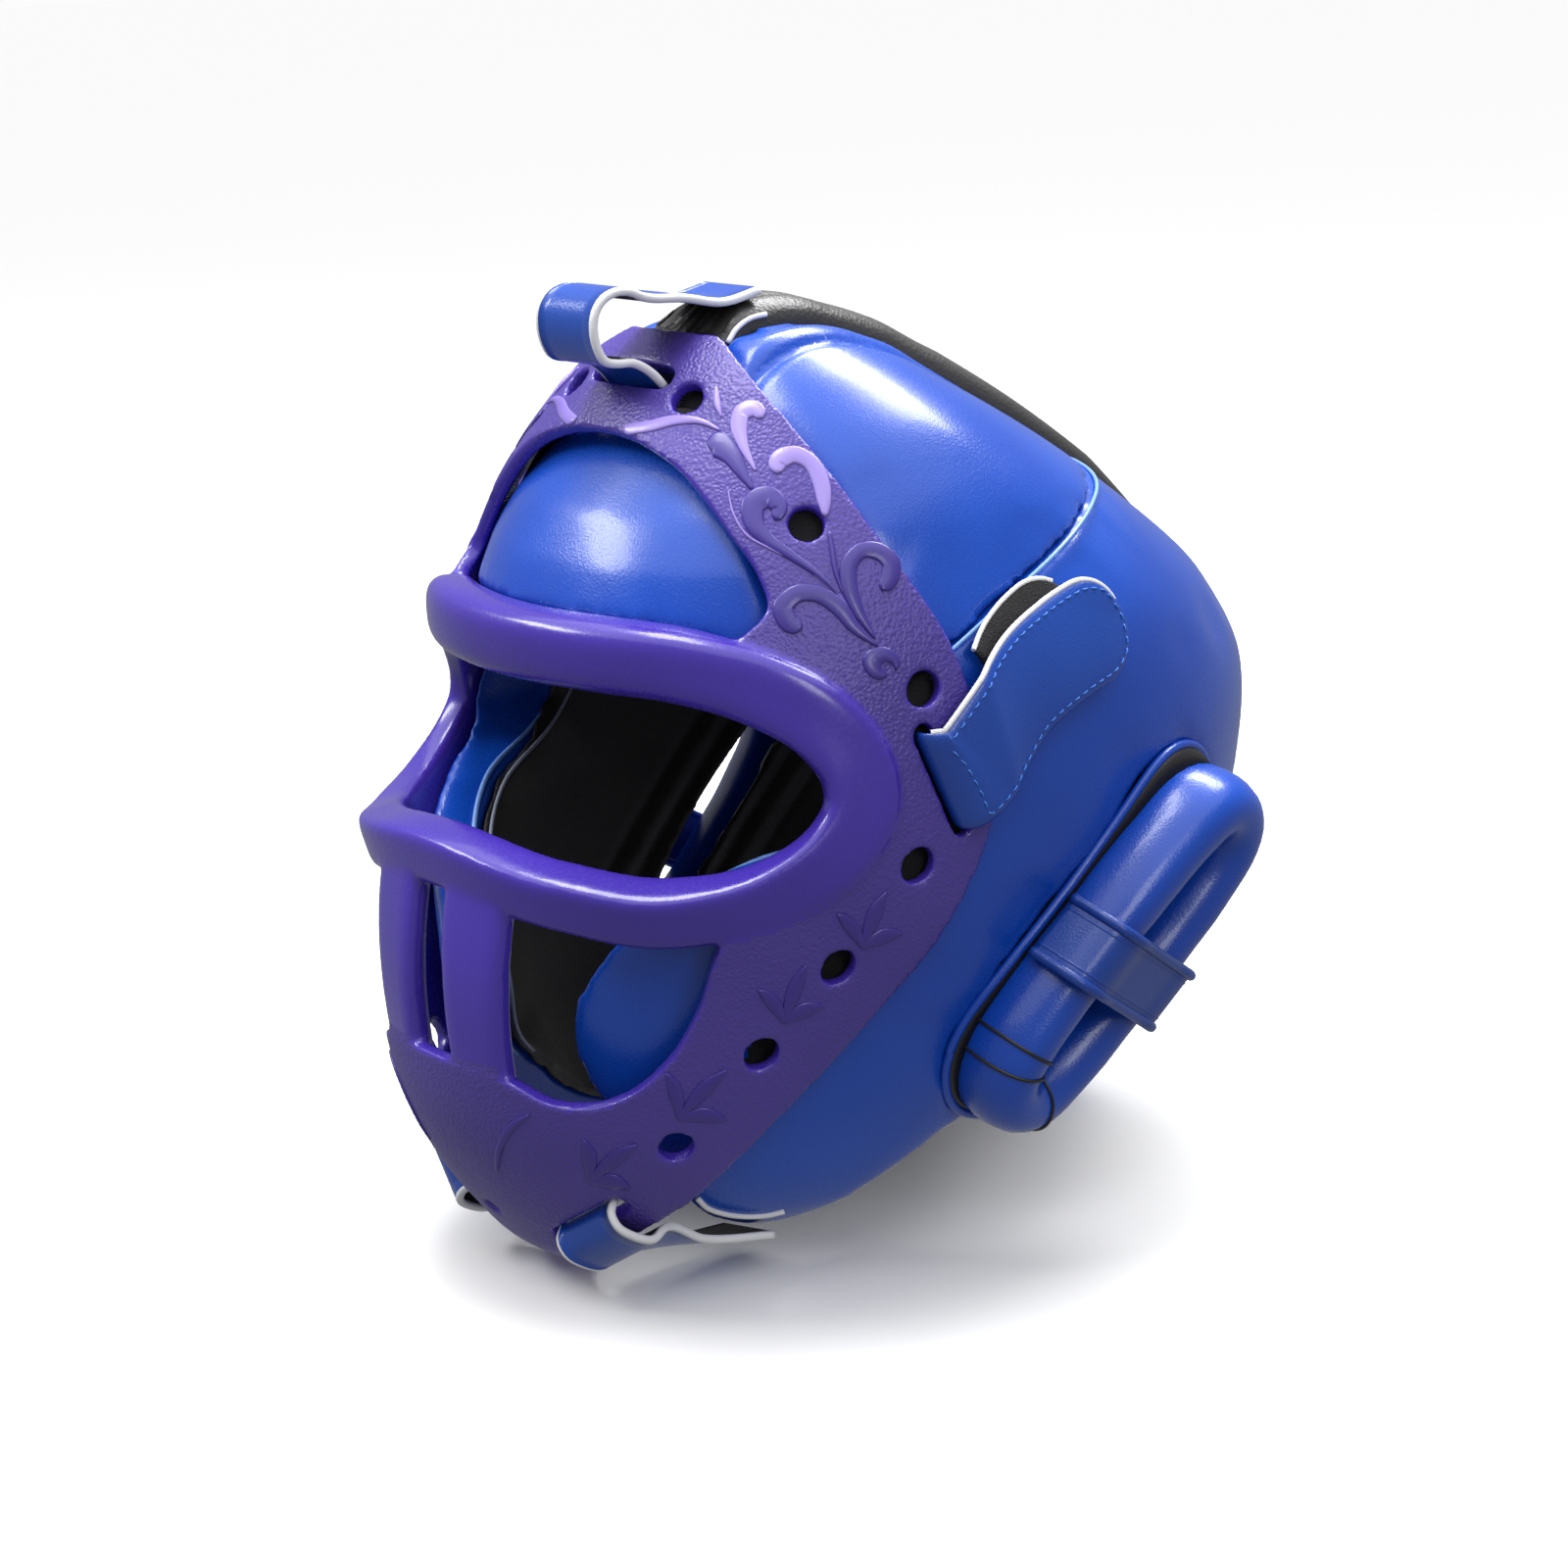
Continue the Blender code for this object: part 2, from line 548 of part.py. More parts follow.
def ear_outline(offset, count):
    """Oval line at an offset from the middle of the ring's tube, with evenly spaced points."""
    end_radius = EAR_END_RADIUS + offset
    half_length = (EAR_LENGTH - EAR_TUBE_WIDTH) / 2 - EAR_END_RADIUS
    half_width = (EAR_WIDTH - EAR_TUBE_WIDTH) / 2 - EAR_END_RADIUS
    places = []
    for i in range(72):
        angle = 2 * math.pi * i / 72
        c, s = math.cos(angle), math.sin(angle)
        reach = math.hypot(half_length * c, half_width * s)
        places.append((
            half_length ** 2 * c / reach + end_radius * c, half_width ** 2 * s / reach + end_radius * s))
    closed = np.array(places + places[:1])
    length = np.linalg.norm(np.diff(closed, axis=0), axis=1).sum()
    return smooth_line(places, length / count, closed=True)


def ear_prism(name, side, offset, low, high):
    """Oval cutter along an ear ring's outward direction."""
    centre, along, across, out = ear_frame(side)
    outline = ear_outline(offset, EAR_STATIONS)
    vertices = [centre + a * along + b * across + level * out for level in (low, high) for a, b in outline]
    count = len(outline)
    faces = [tuple(range(count)), tuple(range(2 * count - 1, count - 1, -1))]
    faces += [(i, (i + 1) % count, (i + 1) % count + count, i + count) for i in range(count)]
    return cutter(new_object(name, vertices, faces))


def ear_rise():
    """Height of the ring's middle over the pad's face."""
    return EAR_TUBE_HEIGHT / 2 - PAD_THICKNESS + EAR_BAND_THICKNESS


def ear_band(name, side, extra):
    """Flat band over an ear ring, tucked in beside it at both ends; extra grows it."""
    centre, along, across, out = ear_frame(side)
    outer = EAR_WIDTH / 2 + FIT_GAP
    top = ear_rise() + EAR_TUBE_HEIGHT / 2 + FIT_GAP
    half = (
        (0.0, top), (outer * 0.4, top), (outer * 0.80, top), (outer * 0.93, top * 0.88), (outer, top * 0.62),
        (outer, top * 0.35), (outer, -EAR_BAND_DEPTH - extra),
    )
    line = np.array([(-a, b) for a, b in half[:0:-1]] + list(half))
    tangent = np.gradient(line, axis=0)
    normal = np.stack((-tangent[:, 1], tangent[:, 0]), axis=1)
    normal /= np.linalg.norm(normal, axis=1)[:, None]
    middles = line + normal * (EAR_BAND_THICKNESS / 2 + FIT_GAP)
    centres = [centre + (EAR_BAND_PLACE - EAR_BAND_SKEW * a) * along + a * across + b * out for a, b in middles]
    rises = [a * across + b * out for a, b in normal]
    wide, thick = EAR_BAND_WIDTH / 2 + extra, EAR_BAND_THICKNESS / 2 + extra
    inner = thick + 5 * extra
    corner = [(-wide, -inner), (wide, -inner), (wide, thick), (-wide, thick)]
    return swept(name, centres, [along] * len(line), rises, [corner] * len(line), closed=False)


def make_ear(side, label):
    """Padded ring with its flat band across the slit."""
    centre, along, across, out = ear_frame(side)
    places = ear_outline(0.0, EAR_STATIONS)
    centres = np.array([centre + a * along + b * across + ear_rise() * out for a, b in places])
    directions = np.roll(centres, -1, axis=0) - np.roll(centres, 1, axis=0)
    sides = [np.cross(d, out) / np.linalg.norm(np.cross(d, out)) for d in directions]
    ring = rounded_profile(EAR_TUBE_WIDTH / 2, EAR_TUBE_HEIGHT / 2, 8, squareness=2.3)
    stations = len(places)
    tube = swept("ear_ring_" + label, centres, sides, [out] * stations, [ring] * stations, closed=True)
    paint(tube, (0.012, 0.09, 0.42), 0.3)
    band = ear_band("ear_band_" + label, side, 0.0)
    paint(band, (0.015, 0.08, 0.36), 0.4)


def make_panels(room):
    """Padded shell, cut along its seams into crown, side and back pads, and the lining inside it."""
    strip_half = STRIP_WIDTH / 2 + FIT_GAP
    far, deep = 3 * SHELL_HALF_WIDTH, 3 * SHELL_REAR
    seam = smooth_line([side_place(*row) for row in CROWN_SEAM], 0.02)
    hem = smooth_line([side_place(*row) for row in SIDE_HEM], 0.012)
    face = [(w * SHELL_HALF_WIDTH, h * SHELL_HEIGHT) for w, h in FACE_EDGE]
    face_tool = prism("face_tool", mirrored(face), "Y", -deep, -0.30 * SHELL_FRONT)
    lining_face = [(w * SHELL_HALF_WIDTH, h * SHELL_HEIGHT) for w, h in LINING_EDGE]
    lining_tool = prism("lining_face_tool", mirrored(lining_face), "Y", -deep, -0.30 * SHELL_FRONT)
    back = mirrored([(w * SHELL_HALF_WIDTH, h * SHELL_HEIGHT) for w, h in BACK_EDGE])
    grown = mirrored([(w * SHELL_HALF_WIDTH + (SEAM_GAP if w else 0), h * SHELL_HEIGHT + (SEAM_GAP if h > 0.55 else 0)) for w, h in BACK_EDGE])

    above_hem = [tuple(p) for p in hem] + [(deep, far), (-deep, far)]
    above_seam = [(a, b + SEAM_GAP / 2) for a, b in seam] + [(deep, far), (-deep, far)]
    below_seam = [(a, b - SEAM_GAP / 2) for a, b in seam[::-1]] + [(-deep, -far), (deep, -far)]
    for side, label in ((1, "left"), (-1, "right")):
        span = (strip_half, far) if side == 1 else (-far, -strip_half)
        ear = ear_prism("ear_room_" + label, side, EAR_TUBE_WIDTH / 2 + FIT_GAP, -2 * PAD_THICKNESS, EAR_LENGTH / 2)
        back_tool = prism("back_room_" + label, grown, "Y", 0.3 * SHELL_REAR, deep)

        crown = layered_shell("crown_panel_" + label, 0.0, PAD_THICKNESS)
        boolean(crown, prism("crown_region_" + label, above_seam, "X", *span), "INTERSECT")
        boolean(crown, face_tool, "DIFFERENCE")
        side_pad = layered_shell("side_panel_" + label, 0.0, PAD_THICKNESS)
        boolean(side_pad, face_tool, "DIFFERENCE")
        boolean(side_pad, prism("side_region_" + label, below_seam, "X", *span), "INTERSECT")
        boolean(side_pad, prism("hem_region_" + label, above_hem, "X", *span), "INTERSECT")
        boolean(side_pad, ear, "DIFFERENCE")
        boolean(side_pad, cutter(ear_band("band_room_" + label, side, FIT_GAP)), "DIFFERENCE")
        boolean(side_pad, back_tool, "DIFFERENCE")
        for pad in (crown, side_pad):
            boolean(pad, room, "DIFFERENCE")
            paint(pad, (0.012, 0.10, 0.46), 0.35)

    nape = layered_shell("back_panel", 0.0, PAD_THICKNESS)
    boolean(nape, prism("back_region", back, "Y", 0.3 * SHELL_REAR, deep), "INTERSECT")
    floor_cut = [(-far, NAPE_FLOOR), (far, NAPE_FLOOR), (far, far), (-far, far)]
    boolean(nape, prism("nape_floor_region", floor_cut, "Y", 0.0, deep), "INTERSECT")
    paint(nape, (0.012, 0.10, 0.46), 0.35)

    lining_inset = PAD_THICKNESS + FIT_GAP
    lining = layered_shell("inner_lining", lining_inset, lining_inset + LINING_THICKNESS)
    lift = 0.004
    hem_lining = [(a, b + lift) for a, b in hem] + [(deep, far), (-deep, far)]
    boolean(lining, prism("lining_region", hem_lining, "X", -far, far), "INTERSECT")
    boolean(lining, lining_tool, "DIFFERENCE")
    for side, label in ((1, "left"), (-1, "right")):
        slit = ear_prism(
            "lining_slit_" + label, side, FIT_GAP - EAR_TUBE_WIDTH / 2, -3 * PAD_THICKNESS, EAR_LENGTH / 2)
        boolean(lining, slit, "DIFFERENCE")
    paint(lining, (0.012, 0.012, 0.014), 0.6)


def make_forehead_pad(room):
    """Bulging pad behind the forehead opening, seated on the lining."""
    turns = [math.radians(t) for t in np.linspace(-62, 62, 13)]
    shares = np.linspace(0.69, 0.93, 6)
    vertices, faces = [], []
    for layer in range(2):
        for row, share in enumerate(shares):
            bulge = math.sin(math.pi * row / (len(shares) - 1))
            for turn in turns:
                if layer == 0:
                    inset = MASK_WALL + 3 * FIT_GAP + FOREHEAD_BULGE * (1 - bulge)
                    vertices.append(form_point(MASK, turn, share) - inset * form_normal(MASK, turn, share))
                else:
                    vertices.append(form_point(SHELL, turn, share) - PAD_THICKNESS * form_normal(SHELL, turn, share))
    columns, rows = len(turns), len(shares)
    layer = columns * rows
    for row in range(rows - 1):
        for i in range(columns - 1):
            a = row * columns + i
            faces.append((a, a + 1, a + 1 + columns, a + columns))
            faces.append((layer + a, layer + a + columns, layer + a + 1 + columns, layer + a + 1))
    rim = [i for i in range(columns)]
    rim += [r * columns + columns - 1 for r in range(1, rows)]
    rim += [layer - 1 - i for i in range(1, columns)]
    rim += [r * columns for r in range(rows - 2, 0, -1)]
    faces += [(a, a + layer, b + layer, b) for a, b in zip(rim, rim[1:] + rim[:1])]
    pad = new_object("forehead_pad", vertices, faces)
    edge = []
    for w, h in FACE_EDGE[:4]:
        edge.append((max(w * SHELL_HALF_WIDTH - 2 * SEAM_GAP, 0.0), h * SHELL_HEIGHT - 2 * SEAM_GAP))
    edge.append((edge[-1][0], 0.6 * SHELL_HEIGHT))
    edge.append((0.0, 0.6 * SHELL_HEIGHT))
    boolean(pad, prism("forehead_region", mirrored(edge), "Y", -3 * MASK_FRONT, -0.31 * SHELL_FRONT), "INTERSECT")
    boolean(pad, room, "DIFFERENCE")
    paint(pad, (0.02, 0.13, 0.5), 0.35)


def median_line(low_front, low_rear):
    """Shell's median in side view, from the front over the top to the rear, with its outward normals."""
    front = [form_point(SHELL, 0.0, s)[1:] for s in np.linspace(low_front, 0.997, 8)]
    rear = [form_point(SHELL, math.pi, s)[1:] for s in np.linspace(0.997, low_rear, 22)]
    line = smooth_line(front + rear, 0.011)
    tangent = np.gradient(line, axis=0)
    normal = np.stack((-tangent[:, 1], tangent[:, 0]), axis=1)
    return line, normal / np.linalg.norm(normal, axis=1)[:, None]


def strip_rise(count):
    """How far the crown strip stands proud at each of its stations, from the mask to its rear end."""
    shares = np.linspace(0.0, 1.0, count)
    places, heights = zip(*STRIP_RISE)
    return STRIP_PROUD * np.interp(shares, places, heights)


def make_crown_strip(room):
    """Black padded roll along the median, proud of the crown pads."""
    line, normal = median_line(STRIP_START, STRIP_END)
    count = len(line)
    centres, out, profile = [], [], []
    for place, rise, proud in zip(line, normal, strip_rise(count)):
        depth = PAD_THICKNESS + proud
        middle = place + rise * (proud - depth / 2)
        centres.append(np.array((0.0, *middle)))
        out.append(np.array((0.0, *rise)))
        profile.append(rounded_profile(STRIP_WIDTH / 2, depth / 2, 10, squareness=3.2))
    across = [np.array((1.0, 0.0, 0.0))] * count
    strip = swept("crown_strip", centres, across, out, profile, closed=False)
    boolean(strip, room, "DIFFERENCE")
    paint(strip, (0.012, 0.012, 0.014), 0.5)


def ribbon(name, centres, across, out, width, thickness):
    half, low = width / 2, thickness / 2
    profile = [[(-half, -low), (0.0, -low), (half, -low), (half, low), (0.0, low), (-half, low)]] * len(centres)
    return swept(name, centres, across, out, profile, closed=False)


def make_top_strap():
    """Strap from the mask's top slot, in a loop forward and back on to the crown strip."""
    apex = form_point(MASK, 0.0, TOP_SLOT.height)[1:]
    slope = form_normal(MASK, 0.0, TOP_SLOT.height)[1:]
    line, normal = median_line(STRIP_START, STRIP_END)
    rest = line + normal * (strip_rise(len(line)) + STRAP_THICKNESS / 2 + 1.5 * FIT_GAP)[:, None]
    top = SHELL_HEIGHT + TOP_LOOP_RISE
    points = [
        apex - slope * MASK_WALL, apex + slope * 0.0015, apex + slope * 0.006 + (-0.002, 0.0),
        (apex[0] - 0.017, top - 0.018), (apex[0] - 0.020, top - 0.010), (apex[0] - 0.018, top - 0.003),
        (apex[0] - 0.010, top), (apex[0] - 0.001, top - 0.003), (apex[0] + 0.011, top - 0.0045),
        rest[2] + (0.0, FIT_GAP), rest[3],
    ]
    path = smooth_line(points, 0.0045)
    tangent = np.gradient(path, axis=0)
    rise = np.stack((-tangent[:, 1], tangent[:, 0]), axis=1)
    rise /= np.linalg.norm(rise, axis=1)[:, None]
    centres = [np.array((0.0, *p)) for p in path]
    out = [np.array((0.0, *r)) for r in rise]
    across = [np.array((1.0, 0.0, 0.0))] * len(path)
    strap = ribbon("top_strap", centres, across, out, TOP_STRAP_WIDTH, STRAP_THICKNESS)
    paint(strap, (0.015, 0.10, 0.42), 0.4)


def over_mask(y, z):
    """Half width of the outermost face below the side straps: the shell, or the mask up to its rim."""
    rim_turn = np.interp(z / SHELL_HEIGHT, [h for t, h in MASK_RIM[::-1]], [t for t, h in MASK_RIM[::-1]])
    rim_y = form_point(MASK, math.radians(rim_turn), z / SHELL_HEIGHT)[1]
    past = max(0.0, y - rim_y - 0.003)
    return max(side_reach(SHELL, y, z), side_reach(MASK, y, z) - 0.5 * past)


def side_band(name, side, line, width, thickness, lift, through_slot):
    """Strap that lies along the side of the shell with a round free end."""
    path = smooth_line([side_place(*row) for row in line], 0.006)
    tangent = np.gradient(path, axis=0)
    tangent /= np.linalg.norm(tangent, axis=1)[:, None]
    left = path[-1] - path
    to_end = np.linalg.norm(left, axis=1)
    vertices, faces = [], []
    shares = (-1.0, -0.5, 0.0, 0.5, 1.0)
    half_end = width / 2
    count = 0
    for place, direction, distance in zip(path, tangent, to_end):
        inner = max(half_end - distance, 0.0)
        half = math.sqrt(max(half_end ** 2 - inner ** 2, (0.25 * half_end) ** 2))
        up = np.array((-direction[1], direction[0]))
        for share in shares:
            y, z = place + share * half * up
            x = over_mask(y, z) + lift
            vertices.append((side * x, y, z))
        for share in reversed(shares):
            y, z = place + share * half * up
            x = over_mask(y, z) + lift + thickness
            vertices.append((side * x, y, z))
        count += 1
    sides = 2 * len(shares)
    if through_slot:
        middle, way, normal, crossing = slot_frame(SIDE_SLOT)
        root = []
        for depth, back in ((FIT_GAP - MASK_WALL, 0.0), (0.0008, 0.0), (0.0030, 0.0030)):
            for i in range(sides):
                inner_face = i < len(shares)
                share = shares[i] if inner_face else shares[sides - 1 - i]
                offset = share * (SIDE_SLOT.length - SIDE_SLOT.width) / 2 * way
                half = (thickness if inner_face else -thickness) / 2
                lean = half if not back else 0.0
                rise = 0.0 if not back or inner_face else thickness
                place = middle + offset + (depth + rise) * normal + (0.0, back, 0.0)
                place = place + lean * crossing
                root.append((side * place[0], place[1], place[2]))
        vertices = root + vertices
        count += 3
    for i in range(count - 1):
        for k in range(sides):
            n = (k + 1) % sides
            faces.append((i * sides + k, i * sides + n, (i + 1) * sides + n, (i + 1) * sides + k))
    faces += [tuple(range(sides)), tuple(range((count - 1) * sides, count * sides))]
    band = new_object(name, vertices, faces)
    return band


def make_side_straps():
    for side, label in ((1, "left"), (-1, "right")):
        under = side_band(
            "side_under_flap_" + label, side, UNDER_FLAP_LINE, SIDE_STRAP_WIDTH, UNDER_FLAP_THICKNESS, 2 * FIT_GAP, False)
        paint(under, (0.015, 0.015, 0.018), 0.7)
        lift = 4 * FIT_GAP + UNDER_FLAP_THICKNESS
        strap = side_band(
            "side_strap_" + label, side, SIDE_STRAP_LINE, SIDE_STRAP_WIDTH, STRAP_THICKNESS, lift, True)
        paint(strap, (0.015, 0.09, 0.40), 0.4)


def make_lower_straps():
    """Straps out of the mask's lower slots, round its lower rim and back under the side pads."""
    mouth, way, normal, crossing = slot_frame(LOWER_SLOT)
    rows = [(mouth + STRAP_THICKNESS * (a * crossing + b * normal), way) for a, b in LOWER_STRAP_TURN]
    for place, lie in LOWER_STRAP_REST:
        rows.append((np.array(place) * (SHELL_HALF_WIDTH, SHELL_FRONT, SHELL_HEIGHT), np.array(lie)))
    path = smooth_line([np.concatenate((p, a * STRAP_THICKNESS)) for p, a in rows], 0.0045)
    centres, across = path[:, :3], path[:, 3:]
    tangent = np.gradient(centres, axis=0)
    out = np.cross(across, tangent)
    out /= np.linalg.norm(out, axis=1)[:, None]
    across = across / np.linalg.norm(across, axis=1)[:, None]
    for side, label in ((1, "left"), (-1, "right")):
        flip = np.array((side, 1, 1))
        strap = ribbon(
            "lower_strap_" + label, centres * flip, across * flip, out * flip, LOWER_STRAP_WIDTH, STRAP_THICKNESS)
        paint(strap, (0.015, 0.09, 0.40), 0.4)


def stand_on_floor():
    """Moves everything together so that the model stands on z = 0, centred under its box."""
    view = bpy.context.evaluated_depsgraph_get()
    corners = []
    for made in bpy.data.objects:
        if made.type == "MESH" and not made.hide_render:
            shown = made.evaluated_get(view)
            corners += [shown.matrix_world @ Vector(c) for c in shown.bound_box]
    low = [min(c[i] for c in corners) for i in range(3)]
    high = [max(c[i] for c in corners) for i in range(3)]
    for made in bpy.data.objects:
        made.location = (-(low[0] + high[0]) / 2, -(low[1] + high[1]) / 2, -low[2])


make_mask()
mask_space = mask_room()
make_panels(mask_space)
make_forehead_pad(mask_space)
make_crown_strip(mask_space)
make_ear(1, "left")
make_ear(-1, "right")
make_top_strap()
make_side_straps()
make_lower_straps()
stand_on_floor()
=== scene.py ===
import math
from collections import namedtuple

import bmesh
import bpy
import numpy as np
from mathutils import Matrix, Vector
from mathutils.bvhtree import BVHTree
from mathutils.geometry import delaunay_2d_cdt


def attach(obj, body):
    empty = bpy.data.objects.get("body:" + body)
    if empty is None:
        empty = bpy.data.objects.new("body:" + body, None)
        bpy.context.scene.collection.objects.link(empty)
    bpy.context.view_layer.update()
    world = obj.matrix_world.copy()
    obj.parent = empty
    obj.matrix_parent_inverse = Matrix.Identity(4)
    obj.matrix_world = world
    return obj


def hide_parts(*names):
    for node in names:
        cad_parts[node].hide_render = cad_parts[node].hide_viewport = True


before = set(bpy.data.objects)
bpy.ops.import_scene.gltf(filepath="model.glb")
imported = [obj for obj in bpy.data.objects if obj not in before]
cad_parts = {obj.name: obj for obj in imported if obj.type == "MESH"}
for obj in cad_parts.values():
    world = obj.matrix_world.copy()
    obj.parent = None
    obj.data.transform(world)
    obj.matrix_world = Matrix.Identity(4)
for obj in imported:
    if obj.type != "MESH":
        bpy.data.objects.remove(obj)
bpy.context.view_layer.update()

bpy.ops.object.select_all(action="DESELECT")

# ---------------------------------------------------------------------------------------------
# Studio: a white floor that runs out of view, two soft boxes and a bright even surround.
# The camera stands where the photograph was taken from, a little above and to the wearer's left.
# ---------------------------------------------------------------------------------------------
MODEL_SHIFT = np.array((0.0, -0.00515, 0.0))
CAMERA_PLACE = np.array((0.66896, -0.55494, 0.38118)) + MODEL_SHIFT
CAMERA_RIGHT = np.array((0.64279, 0.76418, -0.05344))
CAMERA_UP = np.array((-0.18532, 0.22281, 0.95708))
CAMERA_BACK = np.cross(CAMERA_RIGHT, CAMERA_UP)
CAMERA_LENS = 68.85
PHOTO_SIDE = 1600

camera_data = bpy.data.cameras.new("photo_camera")
camera_data.lens = CAMERA_LENS
camera_data.sensor_width = 36.0
camera_data.clip_start = 0.05
camera = bpy.data.objects.new("photo_camera", camera_data)
bpy.context.scene.collection.objects.link(camera)
axes = np.column_stack((CAMERA_RIGHT, CAMERA_UP, CAMERA_BACK, CAMERA_PLACE))
camera.matrix_world = Matrix([list(row) for row in axes] + [[0.0, 0.0, 0.0, 1.0]])
bpy.context.scene.camera = camera

bpy.ops.mesh.primitive_plane_add(size=30.0, location=(0.0, 0.0, -0.0002))
floor = bpy.context.object
floor.name = "studio_floor"
floor_finish = bpy.data.materials.new("studio_white")
floor_finish.use_nodes = True
floor_shader = floor_finish.node_tree.nodes["Principled BSDF"]
floor_shader.inputs["Base Color"].default_value = (0.86, 0.86, 0.86, 1.0)
floor_shader.inputs["Roughness"].default_value = 0.9
floor_shader.inputs["Specular IOR Level"].default_value = 0.0
floor.data.materials.append(floor_finish)
floor.visible_diffuse = False
floor.visible_glossy = False
floor.visible_shadow = False

surround = bpy.data.worlds.new("studio_surround")
surround.use_nodes = True
surround_light = surround.node_tree.nodes["Background"]
surround_light.inputs["Color"].default_value = (1.0, 1.0, 1.0, 1.0)
seen = surround.node_tree.nodes.new("ShaderNodeLightPath")
seen_strength = surround.node_tree.nodes.new("ShaderNodeMapRange")
seen_strength.inputs["To Min"].default_value = 0.32
seen_strength.inputs["To Max"].default_value = 0.97
surround.node_tree.links.new(seen.outputs["Is Camera Ray"], seen_strength.inputs["Value"])
surround.node_tree.links.new(seen_strength.outputs["Result"], surround_light.inputs["Strength"])
bpy.context.scene.world = surround
bpy.context.scene.view_settings.view_transform = "Standard"

sky_data = bpy.data.lights.new("ceiling", "SUN")
sky_data.energy = 2.5
sky_data.angle = math.radians(100.0)
sky_data.specular_factor = 0.15
sky = bpy.data.objects.new("ceiling", sky_data)
bpy.context.scene.collection.objects.link(sky)

# label, direction it shines from, distance, width, length, power
for label, way, distance, width, length, power in (
    ("over_box", (-0.12, -0.12, 0.98), 1.15, 0.60, 0.36, 9.0),
    ("front_box", (-0.55, -0.55, 0.63), 1.25, 0.62, 0.20, 6.0),
    ("rear_strip", (-0.16, 0.60, 0.78), 1.05, 0.80, 0.30, 12.0),
    ("side_box", (0.90, -0.20, 0.42), 1.45, 0.30, 0.55, 3.2),
):
    lamp_data = bpy.data.lights.new(label, "AREA")
    lamp_data.shape = "RECTANGLE"
    lamp_data.size = width
    lamp_data.size_y = length
    lamp_data.energy = power
    lamp = bpy.data.objects.new(label, lamp_data)
    lamp.location = Vector(way).normalized() * distance + Vector((0.0, 0.0, 0.15))
    lamp.rotation_euler = Vector(way).to_track_quat("Z", "Y").to_euler()
    bpy.context.scene.collection.objects.link(lamp)

# ---------------------------------------------------------------------------------------------
# Face mask: one purple plastic moulding with a leather-grained band, smooth rolled lip round the
# eyes, two blades and a chin guard. Band, lip and blades are drawn on the mask's form, then fused
# and softened into one skin, so that every edge has a moulded radius.
# ---------------------------------------------------------------------------------------------
SHELL_HALF_WIDTH = 0.101
SHELL_FRONT = 0.119
SHELL_REAR = 0.153
SHELL_HEIGHT = 0.268
PAD_THICKNESS = 0.014
MASK_HALF_WIDTH = 0.104
MASK_FRONT = 0.143
MASK_WALL = 0.0045
FRONT_SQUARENESS = 2.3
REAR_SQUARENESS = 1.9
MAP_SCALE = 1.8 / math.radians(1) * 0.001

Form = namedtuple("Form", "height shares half_width front rear widest")
Slot = namedtuple("Slot", "turn height length width lean")

# height, half width, front, rear, widest, in shares of the mask's sizes
MASK_SECTIONS = (
    (0.000, 0.36, 0.69, 0.40, 0.10),
    (0.030, 0.53, 0.785, 0.42, 0.10),
    (0.082, 0.67, 0.867, 0.48, 0.10),
    (0.168, 0.80, 0.955, 0.55, 0.105),
    (0.300, 0.925, 1.00, 0.62, 0.13),
    (0.448, 1.00, 0.98, 0.68, 0.155),
    (0.597, 0.99, 0.88, 0.70, 0.155),
    (0.709, 0.933, 0.755, 0.66, 0.13),
    (0.802, 0.817, 0.635, 0.58, 0.08),
    (0.896, 0.644, 0.500, 0.42, 0.013),
    (0.963, 0.46, 0.378, 0.24, -0.052),
    (1.000, 0.29, 0.28, 0.10, -0.092),
)
MASK_RIM = (
    (0, 0.992), (18, 0.991), (34, 0.984), (44, 0.955), (53, 0.914), (60, 0.862), (65, 0.805), (72, 0.698),
    (75.5, 0.59), (77, 0.53), (75.5, 0.475), (71.5, 0.395), (65, 0.32), (56, 0.23), (43, 0.130),
    (33, 0.088), (23, 0.058), (15, 0.024), (8, 0.002), (0, 0.0),
)
FOREHEAD_OPENING = (
    (0, 0.903), (14, 0.895), (27, 0.870), (38, 0.820), (44.5, 0.775), (46, 0.748), (43, 0.728), (24, 0.720),
    (0, 0.721),
)
FACE_OPENING = (
    (0, 0.706), (20, 0.705), (35, 0.695), (47, 0.672), (56, 0.635), (60.5, 0.588), (61, 0.545), (57.5, 0.505),
    (50, 0.468), (45.5, 0.425), (43.5, 0.360), (40, 0.305), (35, 0.272), (29, 0.258), (22, 0.262),
    (17, 0.277), (0, 0.290),
)
STRAP_HOLES = ((23.5, 0.936), (53, 0.821), (68, 0.656), (68, 0.481), (60, 0.388), (52, 0.304), (41.5, 0.205))
SIDE_SLOT = Slot(70.5, 0.562, 0.036, 0.0062, math.radians(-26))
LOWER_SLOT = Slot(23.5, 0.105, 0.033, 0.0066, math.radians(52))
TOP_SLOT = Slot(0.0, 0.952, 0.034, 0.0080, math.radians(90))
CHIN_HOLE = Slot(0.0, 0.095, 0.006, 0.006, 0.0)
STRAP_HOLE_SIZE = 0.010
EYE_LIP_HEIGHT = 0.0175
EYE_LIP_DEPTH = 0.015
EYE_LIP_PROUD = 0.0022
